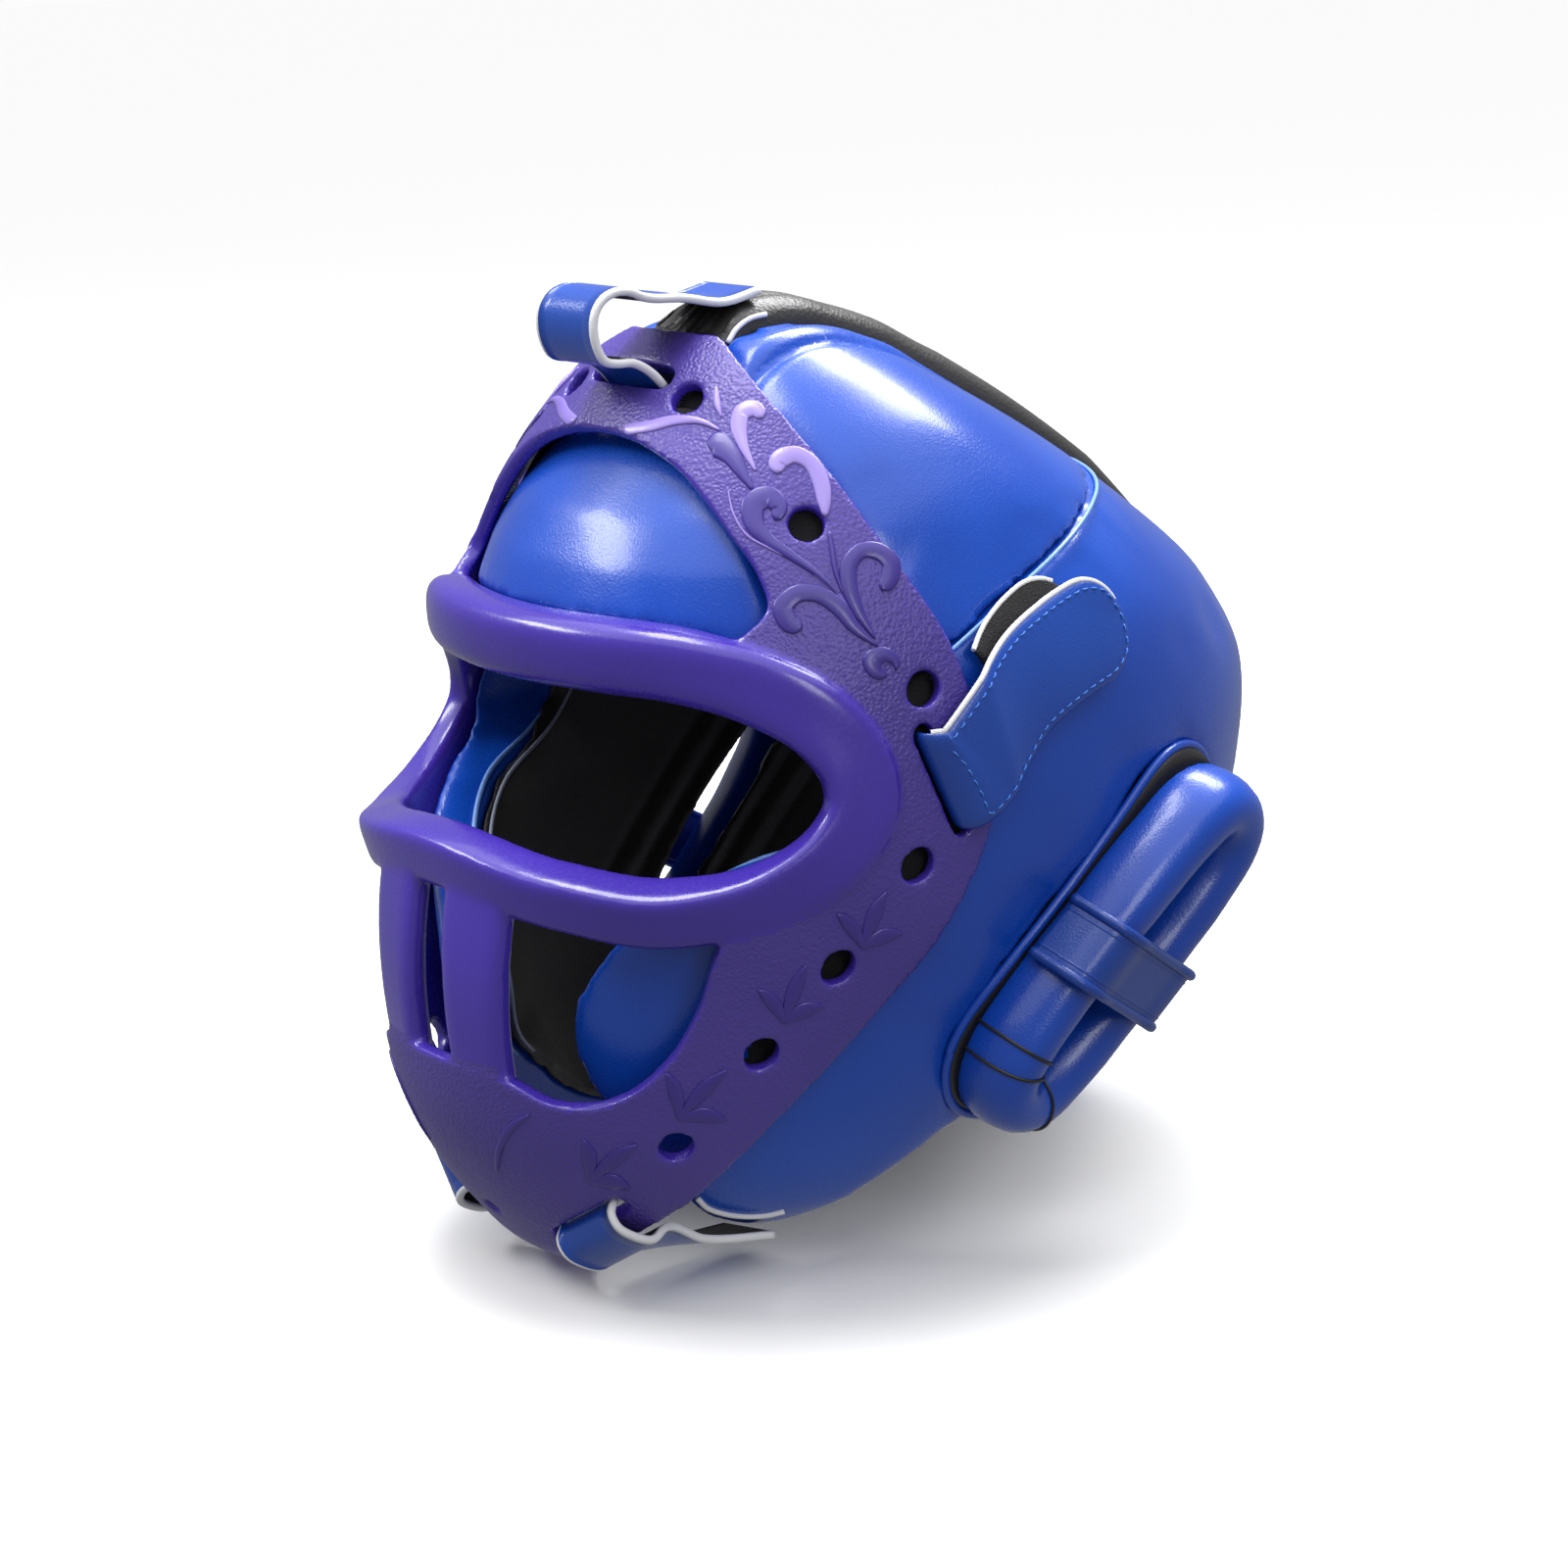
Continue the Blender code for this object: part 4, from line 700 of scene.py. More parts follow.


# pale leaves: the mask's purple made lighter, a painted highlight
scroll_painted_highlight = hide("scroll_painted_highlight", (0.34, 0.26, 0.70), (0.13, 0.08, 0.46), 0.30, 900.0, 60.0, 0.00002, 0.2)
# deep leaves and sprays: the mask's purple made darker, a painted shade
scroll_painted_shade = hide("scroll_painted_shade", (0.046, 0.026, 0.27), (0.038, 0.022, 0.23), 0.32, 900.0, 60.0, 0.00002, 0.2)
leaf_drawing = list(SCROLLS_PAINTED_SHADE)
for root, reach in SPRAYS:
    leaf_drawing += spray(root, reach)
for drawing, finish, tone in ((SCROLLS_PAINTED_HIGHLIGHT, scroll_painted_highlight, "pale"), (leaf_drawing, scroll_painted_shade, "deep")):
    for side, label in ((1, "left"), (-1, "right")):
        leaves = []
        for rows in drawing:
            drawn = scroll(rows)
            if drawn is not None:
                leaves.append(new_piece("leaf", np.array(drawn[0]) * (side, 1, 1), drawn[1]))
        relief = fused(leaves, "scroll_relief_" + tone + "_" + label)
        bpy.ops.object.shade_smooth()
        relief.data.materials.append(finish)
        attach(relief, "root")

# ---------------------------------------------------------------------------------------------
# Padded shell: glossy blue synthetic leather pulled over foam, sewn from crown, side and back
# pads. Each pad is a copy of its solid, brought on to the shell's true form, given a new even
# skin with rolled edges, and pressed in where the mask lies on it. Under the mask's band its
# cover is painted black as shade, so that the band's holes show dark.
# ---------------------------------------------------------------------------------------------
# height, half width, front, rear, widest, in shares of the shell's sizes
SHELL_SECTIONS = (
    (-0.04, 0.40, 0.50, 0.54, 0.10),
    (0.000, 0.515, 0.62, 0.60, 0.10),
    (0.075, 0.69, 0.82, 0.685, 0.09),
    (0.187, 0.85, 0.96, 0.805, 0.105),
    (0.317, 0.95, 1.00, 0.92, 0.13),
    (0.448, 1.00, 0.99, 0.995, 0.155),
    (0.560, 1.00, 0.95, 1.00, 0.17),
    (0.653, 0.96, 0.87, 0.895, 0.145),
    (0.746, 0.87, 0.765, 0.70, 0.09),
    (0.840, 0.73, 0.63, 0.465, 0.025),
    (0.914, 0.555, 0.50, 0.25, -0.04),
    (0.959, 0.375, 0.405, 0.12, -0.09),
    (0.989, 0.20, 0.30, -0.015, -0.12),
    (1.000, 0.06, 0.20, -0.09, -0.125),
)
shell_form = make_form(SHELL_SECTIONS, SHELL_HEIGHT, SHELL_HALF_WIDTH, SHELL_FRONT, SHELL_REAR)
shell_tree = form_tree(shell_form, np.radians(np.arange(-180.0, 180.1, 2.0)), np.linspace(-0.04, 1.0, 181))
FLAT_DEPTH = 0.002
NAPE_HEM = 0.022
HEM_TUCK = 0.25
MASK_CLEARANCE = 0.0006
MASK_FALL_OFF = 0.9
MASK_RIM_MARGIN = 0.0016
PAINTED_SHADE_REACH, PRESS_REACH, SKIN_REACH = 0.009, 0.012, 0.003
PAD_CUT = 0.006
PAD_VOXEL = 0.0017
CROWN_PASSES = 12
SIDE_PASSES = 24
# the sewn fold beside the crown roll: its place, slant and depth of skin, then depth and width of the
# fold, and place, height and width of the swelling beside it
FOLD_PLACE = 0.0290
FOLD_DRIFT = 0.10
FOLD_SKIN = 0.006
FOLD_DEPTH, FOLD_WIDTH = 0.0021, 0.0017
SWELL_PLACE, SWELL_HEIGHT, SWELL_WIDTH = 0.0055, 0.0012, 0.0035
# how far inside the mask's rim, and outside its openings, the cover is painted black as shade
PAINTED_SHADE_MARGINS = (0.002, 0.004, 0.005)


def node_copy(node, name, longest, hem=0.0):
    """Merged copy of a node's mesh, cut finer until no edge is longer than the given length.

    Every corner remembers how deep it lies under the shell's true form, and a point between two
    corners is brought to the depth between theirs, so that the flats of the solid become curves.
    Below the hem height the inner face runs out to the outer one in a roll."""
    work = bmesh.new()
    work.from_mesh(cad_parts[node].data)
    bmesh.ops.remove_doubles(work, verts=work.verts, dist=0.00002)
    layer = work.verts.layers.float.new("depth")
    for vertex in work.verts:
        foot, normal, _, _ = shell_tree.find_nearest(vertex.co)
        vertex[layer] = (foot - vertex.co).dot(normal)
    for _ in range(5):
        edges = [e for e in work.edges if e.calc_length() > longest]
        if not edges:
            break
        bmesh.ops.subdivide_edges(work, edges=edges, cuts=1)
        bmesh.ops.triangulate(work, faces=work.faces)
    for vertex in work.verts:
        foot, normal, _, _ = shell_tree.find_nearest(vertex.co)
        if vertex.co.z < hem:
            roll = HEM_TUCK + (1.0 - HEM_TUCK) * math.sqrt(vertex.co.z / hem)
            vertex[layer] = min(vertex[layer], PAD_THICKNESS * roll)
            vertex.co = foot - vertex[layer] * normal
        shift = foot - vertex[layer] * normal - vertex.co
        vertex.co += shift * min(1.0, FLAT_DEPTH / max(shift.length, FLAT_DEPTH))
        vertex.co.z = max(vertex.co.z, 0.0)
    mesh = bpy.data.meshes.new(name)
    work.to_mesh(mesh)
    work.free()
    mesh.materials.clear()
    piece = bpy.data.objects.new(name, mesh)
    bpy.context.scene.collection.objects.link(piece)
    return piece


def coordinates(piece):
    found = np.zeros(len(piece.data.vertices) * 3)
    piece.data.vertices.foreach_get("co", found)
    return found.reshape(-1, 3)


def move_to(piece, places):
    piece.data.vertices.foreach_set("co", places.ravel())
    piece.data.update()


def mask_map(places):
    """Flat-map places of points on the mask's face."""
    places = places - MODEL_SHIFT
    share = np.clip(places[:, 2] / SHELL_HEIGHT, 0.0, 1.0)
    half_width, front, rear, widest = level_sizes(mask_form, share)
    ahead = places[:, 1] < widest
    power = np.where(ahead, FRONT_SQUARENESS, REAR_SQUARENESS) / 2
    reach = np.where(ahead, front + widest, rear - widest)
    sine = np.minimum(np.abs(places[:, 0]) / half_width, 1.0) ** power * np.sign(places[:, 0])
    cosine = np.minimum(np.abs(places[:, 1] - widest) / reach, 1.0) ** power * np.where(ahead, 1.0, -1.0)
    return np.stack((np.arctan2(sine, cosine) * MAP_SCALE, share * SHELL_HEIGHT), axis=1)


def loop_depth(places, loop):
    """How far places on the mask's face lie inside a loop of its flat map; outside is negative."""
    spots = mask_map(places)
    result = np.zeros(len(spots))
    for begin in range(0, len(spots), 4000):
        part = slice(begin, begin + 4000)
        gap = np.min(np.linalg.norm(spots[part, None] - loop[None], axis=2), axis=1)
        result[part] = np.where(inside(spots[part], loop), gap, -gap)
    return result


def mark_painted_shade(piece):
    """Gives the second finish, black painted shade, to the faces that the mask's band bears on, well inside
    its rim.
    """
    faces = piece.data.polygons
    middles, feet, near = np.zeros(len(faces) * 3), [], []
    faces.foreach_get("center", middles)
    for i, place in enumerate(middles.reshape(-1, 3)):
        foot, _, _, _ = mask_tree.find_nearest(Vector(place), PAINTED_SHADE_REACH)
        if foot is not None:
            near.append(i)
            feet.append(foot)
    shaded_faces = np.zeros(len(faces), dtype=int)
    if near:
        feet = np.array(feet)
        inside_rim, off_forehead, off_face = PAINTED_SHADE_MARGINS
        under_band = loop_depth(feet, rim) > inside_rim
        under_band &= loop_depth(feet, holes[0]) < -off_forehead
        under_band &= loop_depth(feet, holes[1]) < -off_face
        shaded_faces[near] = under_band
    faces.foreach_set("material_index", shaded_faces)


def press(piece):
    """Presses the skin in under the mask, and lets it swell again just past the mask's rim."""
    places = coordinates(piece)
    near, feet, normals = [], [], []
    for i, place in enumerate(places):
        foot, normal, _, _ = mask_tree.find_nearest(Vector(place), PRESS_REACH)
        if foot is not None:
            near.append(i)
            feet.append(foot)
            normals.append(normal)
    if near:
        feet, normals = np.array(feet), np.array(normals)
        depth = np.sum((feet - places[near]) * normals, axis=1)
        past = np.maximum(-loop_depth(feet, rim) - MASK_RIM_MARGIN, 0.0)
        wanted = MASK_WALL + MASK_CLEARANCE - MASK_FALL_OFF * past
        moved = np.where((depth < wanted)[:, None], feet - wanted[:, None] * normals, places[near])
        places[near] = moved
    least = MASK_CLEARANCE * 0.6
    for i, place in enumerate(places):
        foot, normal, _, _ = mask_skin.find_nearest(Vector(place), SKIN_REACH)
        if foot is not None and (Vector(place) - foot).dot(normal) < least:
            places[i] = foot + least * normal
    move_to(piece, places)


mask_skin = BVHTree.FromPolygons(
    [tuple(p) for p in coordinates(mask)], [tuple(f.vertices) for f in mask.data.polygons])

blue_leather = hide(
    "glossy_blue_leather", (0.005, 0.074, 0.50), (0.003, 0.052, 0.40), 0.25, 1500.0, 35.0, 0.00006, 0.22)
# black painted shade for the pads' faces under the mask's band, seen through its holes
black_painted_shade = hide("black_painted_shade", (0.012, 0.012, 0.014), (0.007, 0.007, 0.008), 0.9, 2400.0, 300.0, 0.0003)
pads = {}
for node in ("crown_panel_left", "crown_panel_right", "side_panel_left", "side_panel_right", "back_panel"):
    hem = NAPE_HEM if node == "back_panel" else 0.0
    pad = node_copy(node, node.replace("panel", "pad"), PAD_CUT, hem)
    on_crown = node.startswith("crown")
    softened(pad, PAD_VOXEL, CROWN_PASSES if on_crown else SIDE_PASSES)
    if on_crown:
        # a sewn fold runs beside the crown roll
        places = coordinates(pad)
        for i, place in enumerate(places):
            foot, normal, _, _ = shell_tree.find_nearest(Vector(place))
            depth = (foot - Vector(place)).dot(normal)
            if depth < FOLD_SKIN:
                off = abs(place[0]) - FOLD_PLACE + FOLD_DRIFT * place[1]
                dent = FOLD_DEPTH * math.exp(-((off / FOLD_WIDTH) ** 2))
                dent -= SWELL_HEIGHT * math.exp(-(((off + SWELL_PLACE) / SWELL_WIDTH) ** 2))
                places[i] -= (dent * (1.0 - depth / FOLD_SKIN)) * np.array(normal)
        move_to(pad, places)
    press(pad)
    relax(pad, passes=3)
    press(pad)
    pad.data.materials.append(blue_leather)
    pad.data.materials.append(black_painted_shade)
    mark_painted_shade(pad)
    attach(pad, "root")
    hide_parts(node)
    pads[node] = pad

# ---------------------------------------------------------------------------------------------
# Lining: black knit over thin foam, glued inside the shell and open over the ears.
# Its skin is settled on the shell's form and softened like the pads.
# ---------------------------------------------------------------------------------------------
black_lining = hide(
    "black_satin_lining", (0.022, 0.021, 0.021), (0.011, 0.011, 0.012), 0.42, 1900.0, 90.0, 0.00010)
EAR_LENGTH = 0.125
EAR_WIDTH = 0.052
EAR_TUBE_WIDTH = 0.0195
EAR_SLOPE = math.radians(43.0)
EAR_END_RADIUS = 0.0125
EAR_SITE = (0.96, 0.175, 0.325)
EAR_OUT = (0.94, 0.12, -0.32)
# place counted outward round the ear slit, width and height; a sewn channel's height is negative
LINING_ROLLS = (
    (0.0050, 0.0030, 0.0016), (0.0098, 0.0012, -0.0010), (0.0150, 0.0034, 0.0013), (0.0205, 0.0012, -0.0008),
)
LINING_ROLL_REACH = 0.03
LINING_ROLL_LENGTH = 0.040


def ear_frame(side):
    """Centre, long, across and outward directions of an ear ring."""
    centre = np.array(EAR_SITE) * (SHELL_HALF_WIDTH, SHELL_REAR, SHELL_HEIGHT)
    out = np.array(EAR_OUT) / np.linalg.norm(EAR_OUT)
    along = np.array((0.0, math.cos(EAR_SLOPE), math.sin(EAR_SLOPE)))
    along -= along.dot(out) * out
    along /= np.linalg.norm(along)
    flip = np.array((side, 1, 1))
    return centre * flip + MODEL_SHIFT, along * flip, np.cross(out, along) * flip, out * flip


def lining_folds(piece):
    """Two soft rolls round each ear opening, with a sewn channel between them."""
    places = coordinates(piece)
    half_length = (EAR_LENGTH - EAR_TUBE_WIDTH) / 2 - EAR_END_RADIUS
    for side in (1, -1):
        centre, along, across, out = ear_frame(side)
        a, b = (places - centre) @ along, (places - centre) @ across
        beyond = np.maximum(np.abs(a) - half_length, 0.0)
        gap = np.hypot(beyond, b) - EAR_END_RADIUS + EAR_TUBE_WIDTH / 2
        roll = sum(height * np.exp(-(((gap - place) / width) ** 2)) for place, width, height in LINING_ROLLS)
        roll *= np.exp(-((b / LINING_ROLL_LENGTH) ** 4))
        near = (places[:, 0] * side > 0.03) & (gap < LINING_ROLL_REACH)
        for i in np.flatnonzero(near & (np.abs(roll) > 0.00002)):
            foot, normal, _, _ = shell_tree.find_nearest(Vector(places[i]))
            depth = (foot - Vector(places[i])).dot(normal)
            if depth > PAD_THICKNESS + 0.0016:
                places[i] -= roll[i] * np.array(normal)
    move_to(piece, places)


lining = node_copy("inner_lining", "lining", PAD_CUT)
softened(lining, PAD_VOXEL, passes=10)
lining_folds(lining)
lining.data.materials.append(black_lining)
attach(lining, "root")
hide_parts("inner_lining")

# ---------------------------------------------------------------------------------------------
# Forehead pad: a smooth blue cushion that swells behind the mask's forehead opening.
# It is a softened copy of its solid, pressed in where the mask lies on it.
# ---------------------------------------------------------------------------------------------
forehead = node_copy("forehead_pad", "forehead_cushion", PAD_CUT)
softened(forehead, voxel=0.0018, passes=14)
press(forehead)
forehead.data.materials.append(blue_leather)
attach(forehead, "root")
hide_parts("forehead_pad")

# ---------------------------------------------------------------------------------------------
# Crown strip: a rolled pad of black synthetic leather that covers the join of the two crown
# pads, from under the mask's top to the back. Two sewn channels run along it.
# ---------------------------------------------------------------------------------------------
STRIP_HALF_WIDTH = 0.017
STRIP_PROUD = 0.009
STRIP_START = 0.955
STRIP_END = 0.638
CHANNEL_PLACE = 0.0060
CHANNEL_SIZE = 0.0011
STRIP_RISE = ((0.0, 0.19), (0.10, 0.44), (0.22, 0.62), (0.26, 0.62), (0.47, 1.0), (0.80, 1.0), (1.0, 0.35))


def upright(line):
    """Directions at right angles to a flat line, on its left."""
    tangent = np.gradient(line, axis=0)
    return unit(np.stack((-tangent[:, 1], tangent[:, 0]), axis=1))


def median_line(step):
    """Shell's median from the front over the top to the rear, with its outward directions."""
    front = form_points(shell_form, 0.0, np.linspace(STRIP_START, 0.997, 8))
    rear = form_points(shell_form, math.pi, np.linspace(0.997, STRIP_END, 22))
    line = smooth_line(np.vstack((front, rear))[:, 1:], step)
    return line, upright(line)


def in_median(flat_points):
    return np.column_stack((np.zeros(len(flat_points)), flat_points))


def strip_rise(shares):
    places, heights = zip(*STRIP_RISE)
    return STRIP_PROUD * np.interp(shares, places, heights)


line, rise = median_line(0.003)
shares = np.linspace(0.0, 1.0, len(line))
proud = strip_rise(shares)
rings = []
for share, high in zip(shares, proud):
    deep = PAD_THICKNESS + high
    ring = rounded_ring(STRIP_HALF_WIDTH - 0.0006, deep / 2, 40, 3.0)
    ring[:, 1] += high - deep / 2
    top = ring[:, 1] > high - deep * 0.3
    ripple = 0.0004 * np.sin(share * 61.0) * np.sin(share * 23.0 + 1.0)
    for place in (ripple - CHANNEL_PLACE, CHANNEL_PLACE - ripple):
        ring[top, 1] -= CHANNEL_SIZE * np.exp(-(((ring[top, 0] - place) / CHANNEL_SIZE) ** 2))
    rings.append(ring)
across = np.tile((1.0, 0.0, 0.0), (len(line), 1))
strip = sweep("crown_roll", in_median(line), across, in_median(rise), rings, closed=False)
softened(strip, voxel=0.0013, passes=2)
press(strip)
black_leather = hide(
    "black_leather_roll", (0.048, 0.047, 0.048), (0.022, 0.022, 0.023), 0.36, 900.0, 55.0, 0.00018)
strip.data.materials.append(black_leather)
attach(strip, "root")
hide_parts("crown_strip")

# ---------------------------------------------------------------------------------------------
# Ear rings: oval padded tubes let into the side pads round the ear slits, each held by a flat
# band with a raised cord along both edges.
# ---------------------------------------------------------------------------------------------
EAR_TUBE_HEIGHT = 0.027
EAR_BAND_WIDTH = 0.022
EAR_BAND_THICKNESS = 0.0018
EAR_BAND_PLACE = -0.004
EAR_BAND_SKEW = 0.22
EAR_BAND_DEPTH = 0.003
EAR_WRAPS = (0.43, 0.455, 0.555)
WRAP_PROUD = 1.012
WRAP_RADIUS = 0.00055
# name, inset from the band's edge, rise, radius and sides of the cords and welts along it
EAR_BAND_TRIMS = (("cord", 0.0014, 0.0005, 0.0016, 12), ("welt", 0.0045, 0.0003, 0.0005, 8))
# a direction that no cord follows
OFF_AXIS = (0.31, 0.17, 0.93)
EAR_RISE = EAR_TUBE_HEIGHT / 2 - PAD_THICKNESS + EAR_BAND_THICKNESS
FIT_GAP = 0.0004


def ear_outline(offset, step):
    """Oval line at an offset from the middle of the ring's tube."""
    end_radius = EAR_END_RADIUS + offset
    half_length = (EAR_LENGTH - EAR_TUBE_WIDTH) / 2 - EAR_END_RADIUS
    half_width = (EAR_WIDTH - EAR_TUBE_WIDTH) / 2 - EAR_END_RADIUS
    angle = 2 * math.pi * np.arange(72) / 72
    c, s = np.cos(angle), np.sin(angle)
    reach = np.hypot(half_length * c, half_width * s)
    a = half_length ** 2 * c / reach + end_radius * c
    b = half_width ** 2 * s / reach + end_radius * s
    return smooth_line(np.stack((a, b), axis=1), step, closed=True)


def tube(name, line, radius, sides=8, closed=False):
    """Round cord along a line of points."""
    line = np.asarray(line, dtype=float)
    if closed:
        tangent = np.roll(line, -1, axis=0) - np.roll(line, 1, axis=0)
    else:
        tangent = np.gradient(line, axis=0)
    tangent = unit(tangent)
    across = unit(np.cross(tangent, OFF_AXIS))
    out = np.cross(tangent, across)
    radii = np.broadcast_to(radius, (len(line),))
    rings = [rounded_ring(r, r, sides, 2.0) for r in radii]
    return sweep(name, line, across, out, rings, closed=closed)


def ear_band_line(step):
    """The band's line across the ring and its outward directions, in the ring's own (across, out)."""
    outer = EAR_WIDTH / 2 + FIT_GAP
    top = EAR_RISE + EAR_TUBE_HEIGHT / 2 + FIT_GAP
    half = (
        (0.0, top), (outer * 0.4, top), (outer * 0.80, top), (outer * 0.93, top * 0.88), (outer, top * 0.62),
        (outer, top * 0.35), (outer, -EAR_BAND_DEPTH),
    )
    line = smooth_line([(-a, b) for a, b in half[:0:-1]] + list(half), step)
    return line, upright(line)


band_blue = hide(
    "band_blue_leather", (0.006, 0.060, 0.38), (0.004, 0.042, 0.29), 0.34, 1500.0, 60.0, 0.00008, 0.2)
dark_piping = hide("black_piping", (0.012, 0.012, 0.014), (0.008, 0.008, 0.010), 0.35, 1500.0, 60.0, 0.00005)
# pale cords: real piping at the seams and ear welts, and a painted highlight along the pads' front edge
pale_piping_and_highlight = hide("pale_piping_and_highlight", (0.20, 0.38, 0.80), (0.14, 0.29, 0.68), 0.30, 1500.0, 60.0, 0.00004)
grey_piping = hide("grey_piping", (0.30, 0.33, 0.42), (0.22, 0.25, 0.33), 0.35, 1500.0, 60.0, 0.00004)
for side, label in ((1, "left"), (-1, "right")):
    centre, along, across, out = ear_frame(side)
    oval = ear_outline(0.0, 0.003)
    places = centre + oval[:, :1] * along + oval[:, 1:] * across + EAR_RISE * out
    way = np.roll(places, -1, axis=0) - np.roll(places, 1, axis=0)
    aside = unit(np.cross(way, out))
    shares = np.arange(len(oval)) / len(oval)
    rings = []
    for share in shares:
        swell = 1.0 - 0.012 * (1 + math.sin(share * 6.283 * 9.0)) * abs(math.sin(share * 6.283 * 2.5 + 0.6))
        rings.append(rounded_ring(EAR_TUBE_WIDTH / 2 * swell, EAR_TUBE_HEIGHT / 2 * swell, 26, 2.25))
    ring = sweep("ear_pad_" + label, places, aside, np.tile(out, (len(oval), 1)), rings, closed=True)
    only(ring)
    bpy.ops.object.shade_smooth()
    ring.data.materials.append(blue_leather)
    wraps = []
    for share in EAR_WRAPS:
        i = int(share * len(oval))
        loop = np.array([places[i] + a * aside[i] + b * out for a, b in rings[i] * WRAP_PROUD])
        loop = smooth_line(loop, 0.0012, closed=True)
        wraps.append(tube("wrap", loop, WRAP_RADIUS, 6, closed=True))
        wraps[-1].data.materials.append(dark_piping)
    ring = fused([ring] + wraps, "ear_pad_" + label)
    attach(ring, "root")
    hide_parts("ear_ring_" + label)

    line, normal = ear_band_line(0.0015)
    middle = line + normal * (EAR_BAND_THICKNESS / 2 + FIT_GAP)
    centres = centre + (EAR_BAND_PLACE - EAR_BAND_SKEW * middle[:, :1]) * along
    centres = centres + middle[:, :1] * across + middle[:, 1:] * out
    rises = normal[:, :1] * across + normal[:, 1:] * out
    half = EAR_BAND_WIDTH / 2
    web = [rounded_ring(half - 0.0008, 0.0006, 24, 5.0)] * len(line)
    strap_web = sweep("web", centres, np.tile(along, (len(line), 1)), rises, web, closed=False)
    trims = []
    for name, inset, raised, radius, sides in EAR_BAND_TRIMS:
        for place in (inset - half, half - inset):
            trims.append(tube(name, centres + place * along + raised * rises, radius, sides))
    band = fused([strap_web] + trims, "ear_strap_" + label)
    bpy.ops.object.shade_smooth()
    band.data.materials.append(band_blue)
    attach(band, "root")
    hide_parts("ear_band_" + label)

# ---------------------------------------------------------------------------------------------
# Fixing straps: blue synthetic leather outside, black hook field inside, white bound edges.
# The top one loops through the mask's top slot and lies back on the crown strip.
# ---------------------------------------------------------------------------------------------
STRAP_THICKNESS = 0.0025
TOP_STRAP_WIDTH = 0.027
LOWER_STRAP_WIDTH = 0.026
TOP_LOOP_RISE = 0.012
LOWER_STRAP_TURN = ((0.2, -1.6), (0.2, 0.5), (1.2, 1.45), (3.8, 1.55), (6.3, 0.6), (7.5, -1.6))
LOWER_STRAP_REST = (((0.36, -0.74, 0.050), (0.93, 0.05, 0.36)), ((0.395, -0.55, 0.038), (0.98, 0.0, 0.20)))
BINDING = 0.0016

strap_blue = hide(
    "strap_blue_leather", (0.007, 0.066, 0.41), (0.005, 0.047, 0.32), 0.28, 1500.0, 60.0, 0.00008, 0.3)
white_binding = hide("white_binding", (0.80, 0.81, 0.84), (0.70, 0.71, 0.75), 0.45, 1800.0, 120.0, 0.00006)
black_hook = hide(
    "black_hook_field", (0.014, 0.014, 0.016), (0.007, 0.007, 0.008), 0.75, 2600.0, 300.0, 0.0004)


def strap_ring(width, thickness):
    """Section of a strap: flat faces, full round bound edges."""
    half, low = width / 2, thickness / 2
    flat = half - BINDING
    edge = [(half - low + low * math.cos(a), low * math.sin(a)) for a in np.radians((-60, -25, 25, 60))]
    inside_face = [(a, -low * 0.86) for a in np.linspace(-flat, flat, 7)]
    outside_face = [(a, low * 0.86) for a in np.linspace(flat, -flat, 7)]
    right = [(flat, -low)] + edge + [(flat, low)]
    left = [(-flat, low)] + [(-a, b) for a, b in edge[::-1]] + [(-flat, -low)]
    return np.array(inside_face + right + outside_face + left)


def strap_piece(name, centres, across, out, width, outside, within):
    """Bound strap along a line; outside and within are the finishes of its two faces."""
    ring = strap_ring(width, STRAP_THICKNESS)
    made = sweep(name, centres, across, out, [ring] * len(centres), closed=False)
    for finish in (outside, within, white_binding):
        made.data.materials.append(finish)
    sides = len(ring)
    station_faces = sides * (len(centres) - 1)
    for face in made.data.polygons:
        if face.index >= station_faces:
            face.material_index = 2
            continue
        k = face.index % sides
        face.material_index = 1 if k < 6 else 0 if 13 <= k < 19 else 2
        face.use_smooth = True
    return made


def slot_frame(slot):
    """Middle of a slot on the mask, with the directions along it, out of the mask and across it."""
    turn, step = math.radians(slot.turn), 0.01
    middle = form_points(mask_form, turn, slot.height)
    round_way = form_points(mask_form, turn + step, slot.height) - middle
    up_way = form_points(mask_form, turn, slot.height + step) - middle
    along = math.sin(slot.lean) * round_way / np.linalg.norm(round_way)
    along = along + math.cos(slot.lean) * up_way / np.linalg.norm(up_way)
    along /= np.linalg.norm(along)
    normal = form_normals(mask_form, turn, slot.height)
    return middle, along, normal, np.cross(along, normal)


apex = form_points(mask_form, 0.0, TOP_SLOT.height)[1:]
slope = form_normals(mask_form, 0.0, TOP_SLOT.height)[1:]
line, rise = median_line(0.011)
lift = strip_rise(np.linspace(0.0, 1.0, len(line))) + STRAP_THICKNESS / 2 + 1.5 * FIT_GAP
rest = line + rise * lift[:, None]
top = SHELL_HEIGHT + TOP_LOOP_RISE
points = [
    apex - slope * MASK_WALL, apex + slope * 0.0015, apex + slope * 0.006 + (-0.002, 0.0),
    (apex[0] - 0.017, top - 0.018), (apex[0] - 0.020, top - 0.010), (apex[0] - 0.018, top - 0.003),
    (apex[0] - 0.010, top), (apex[0] - 0.001, top - 0.003), (apex[0] + 0.011, top - 0.0045),
    rest[2] + (0.0, FIT_GAP), rest[3],
]
path = smooth_line(smooth_line(points, 0.0045), 0.0015)
rise = upright(path)
loop_strap = strap_piece(
    "top_fixing_strap", in_median(path), np.tile((1.0, 0.0, 0.0), (len(path), 1)), in_median(rise),
    TOP_STRAP_WIDTH, strap_blue, black_hook)
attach(loop_strap, "root")
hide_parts("top_strap")

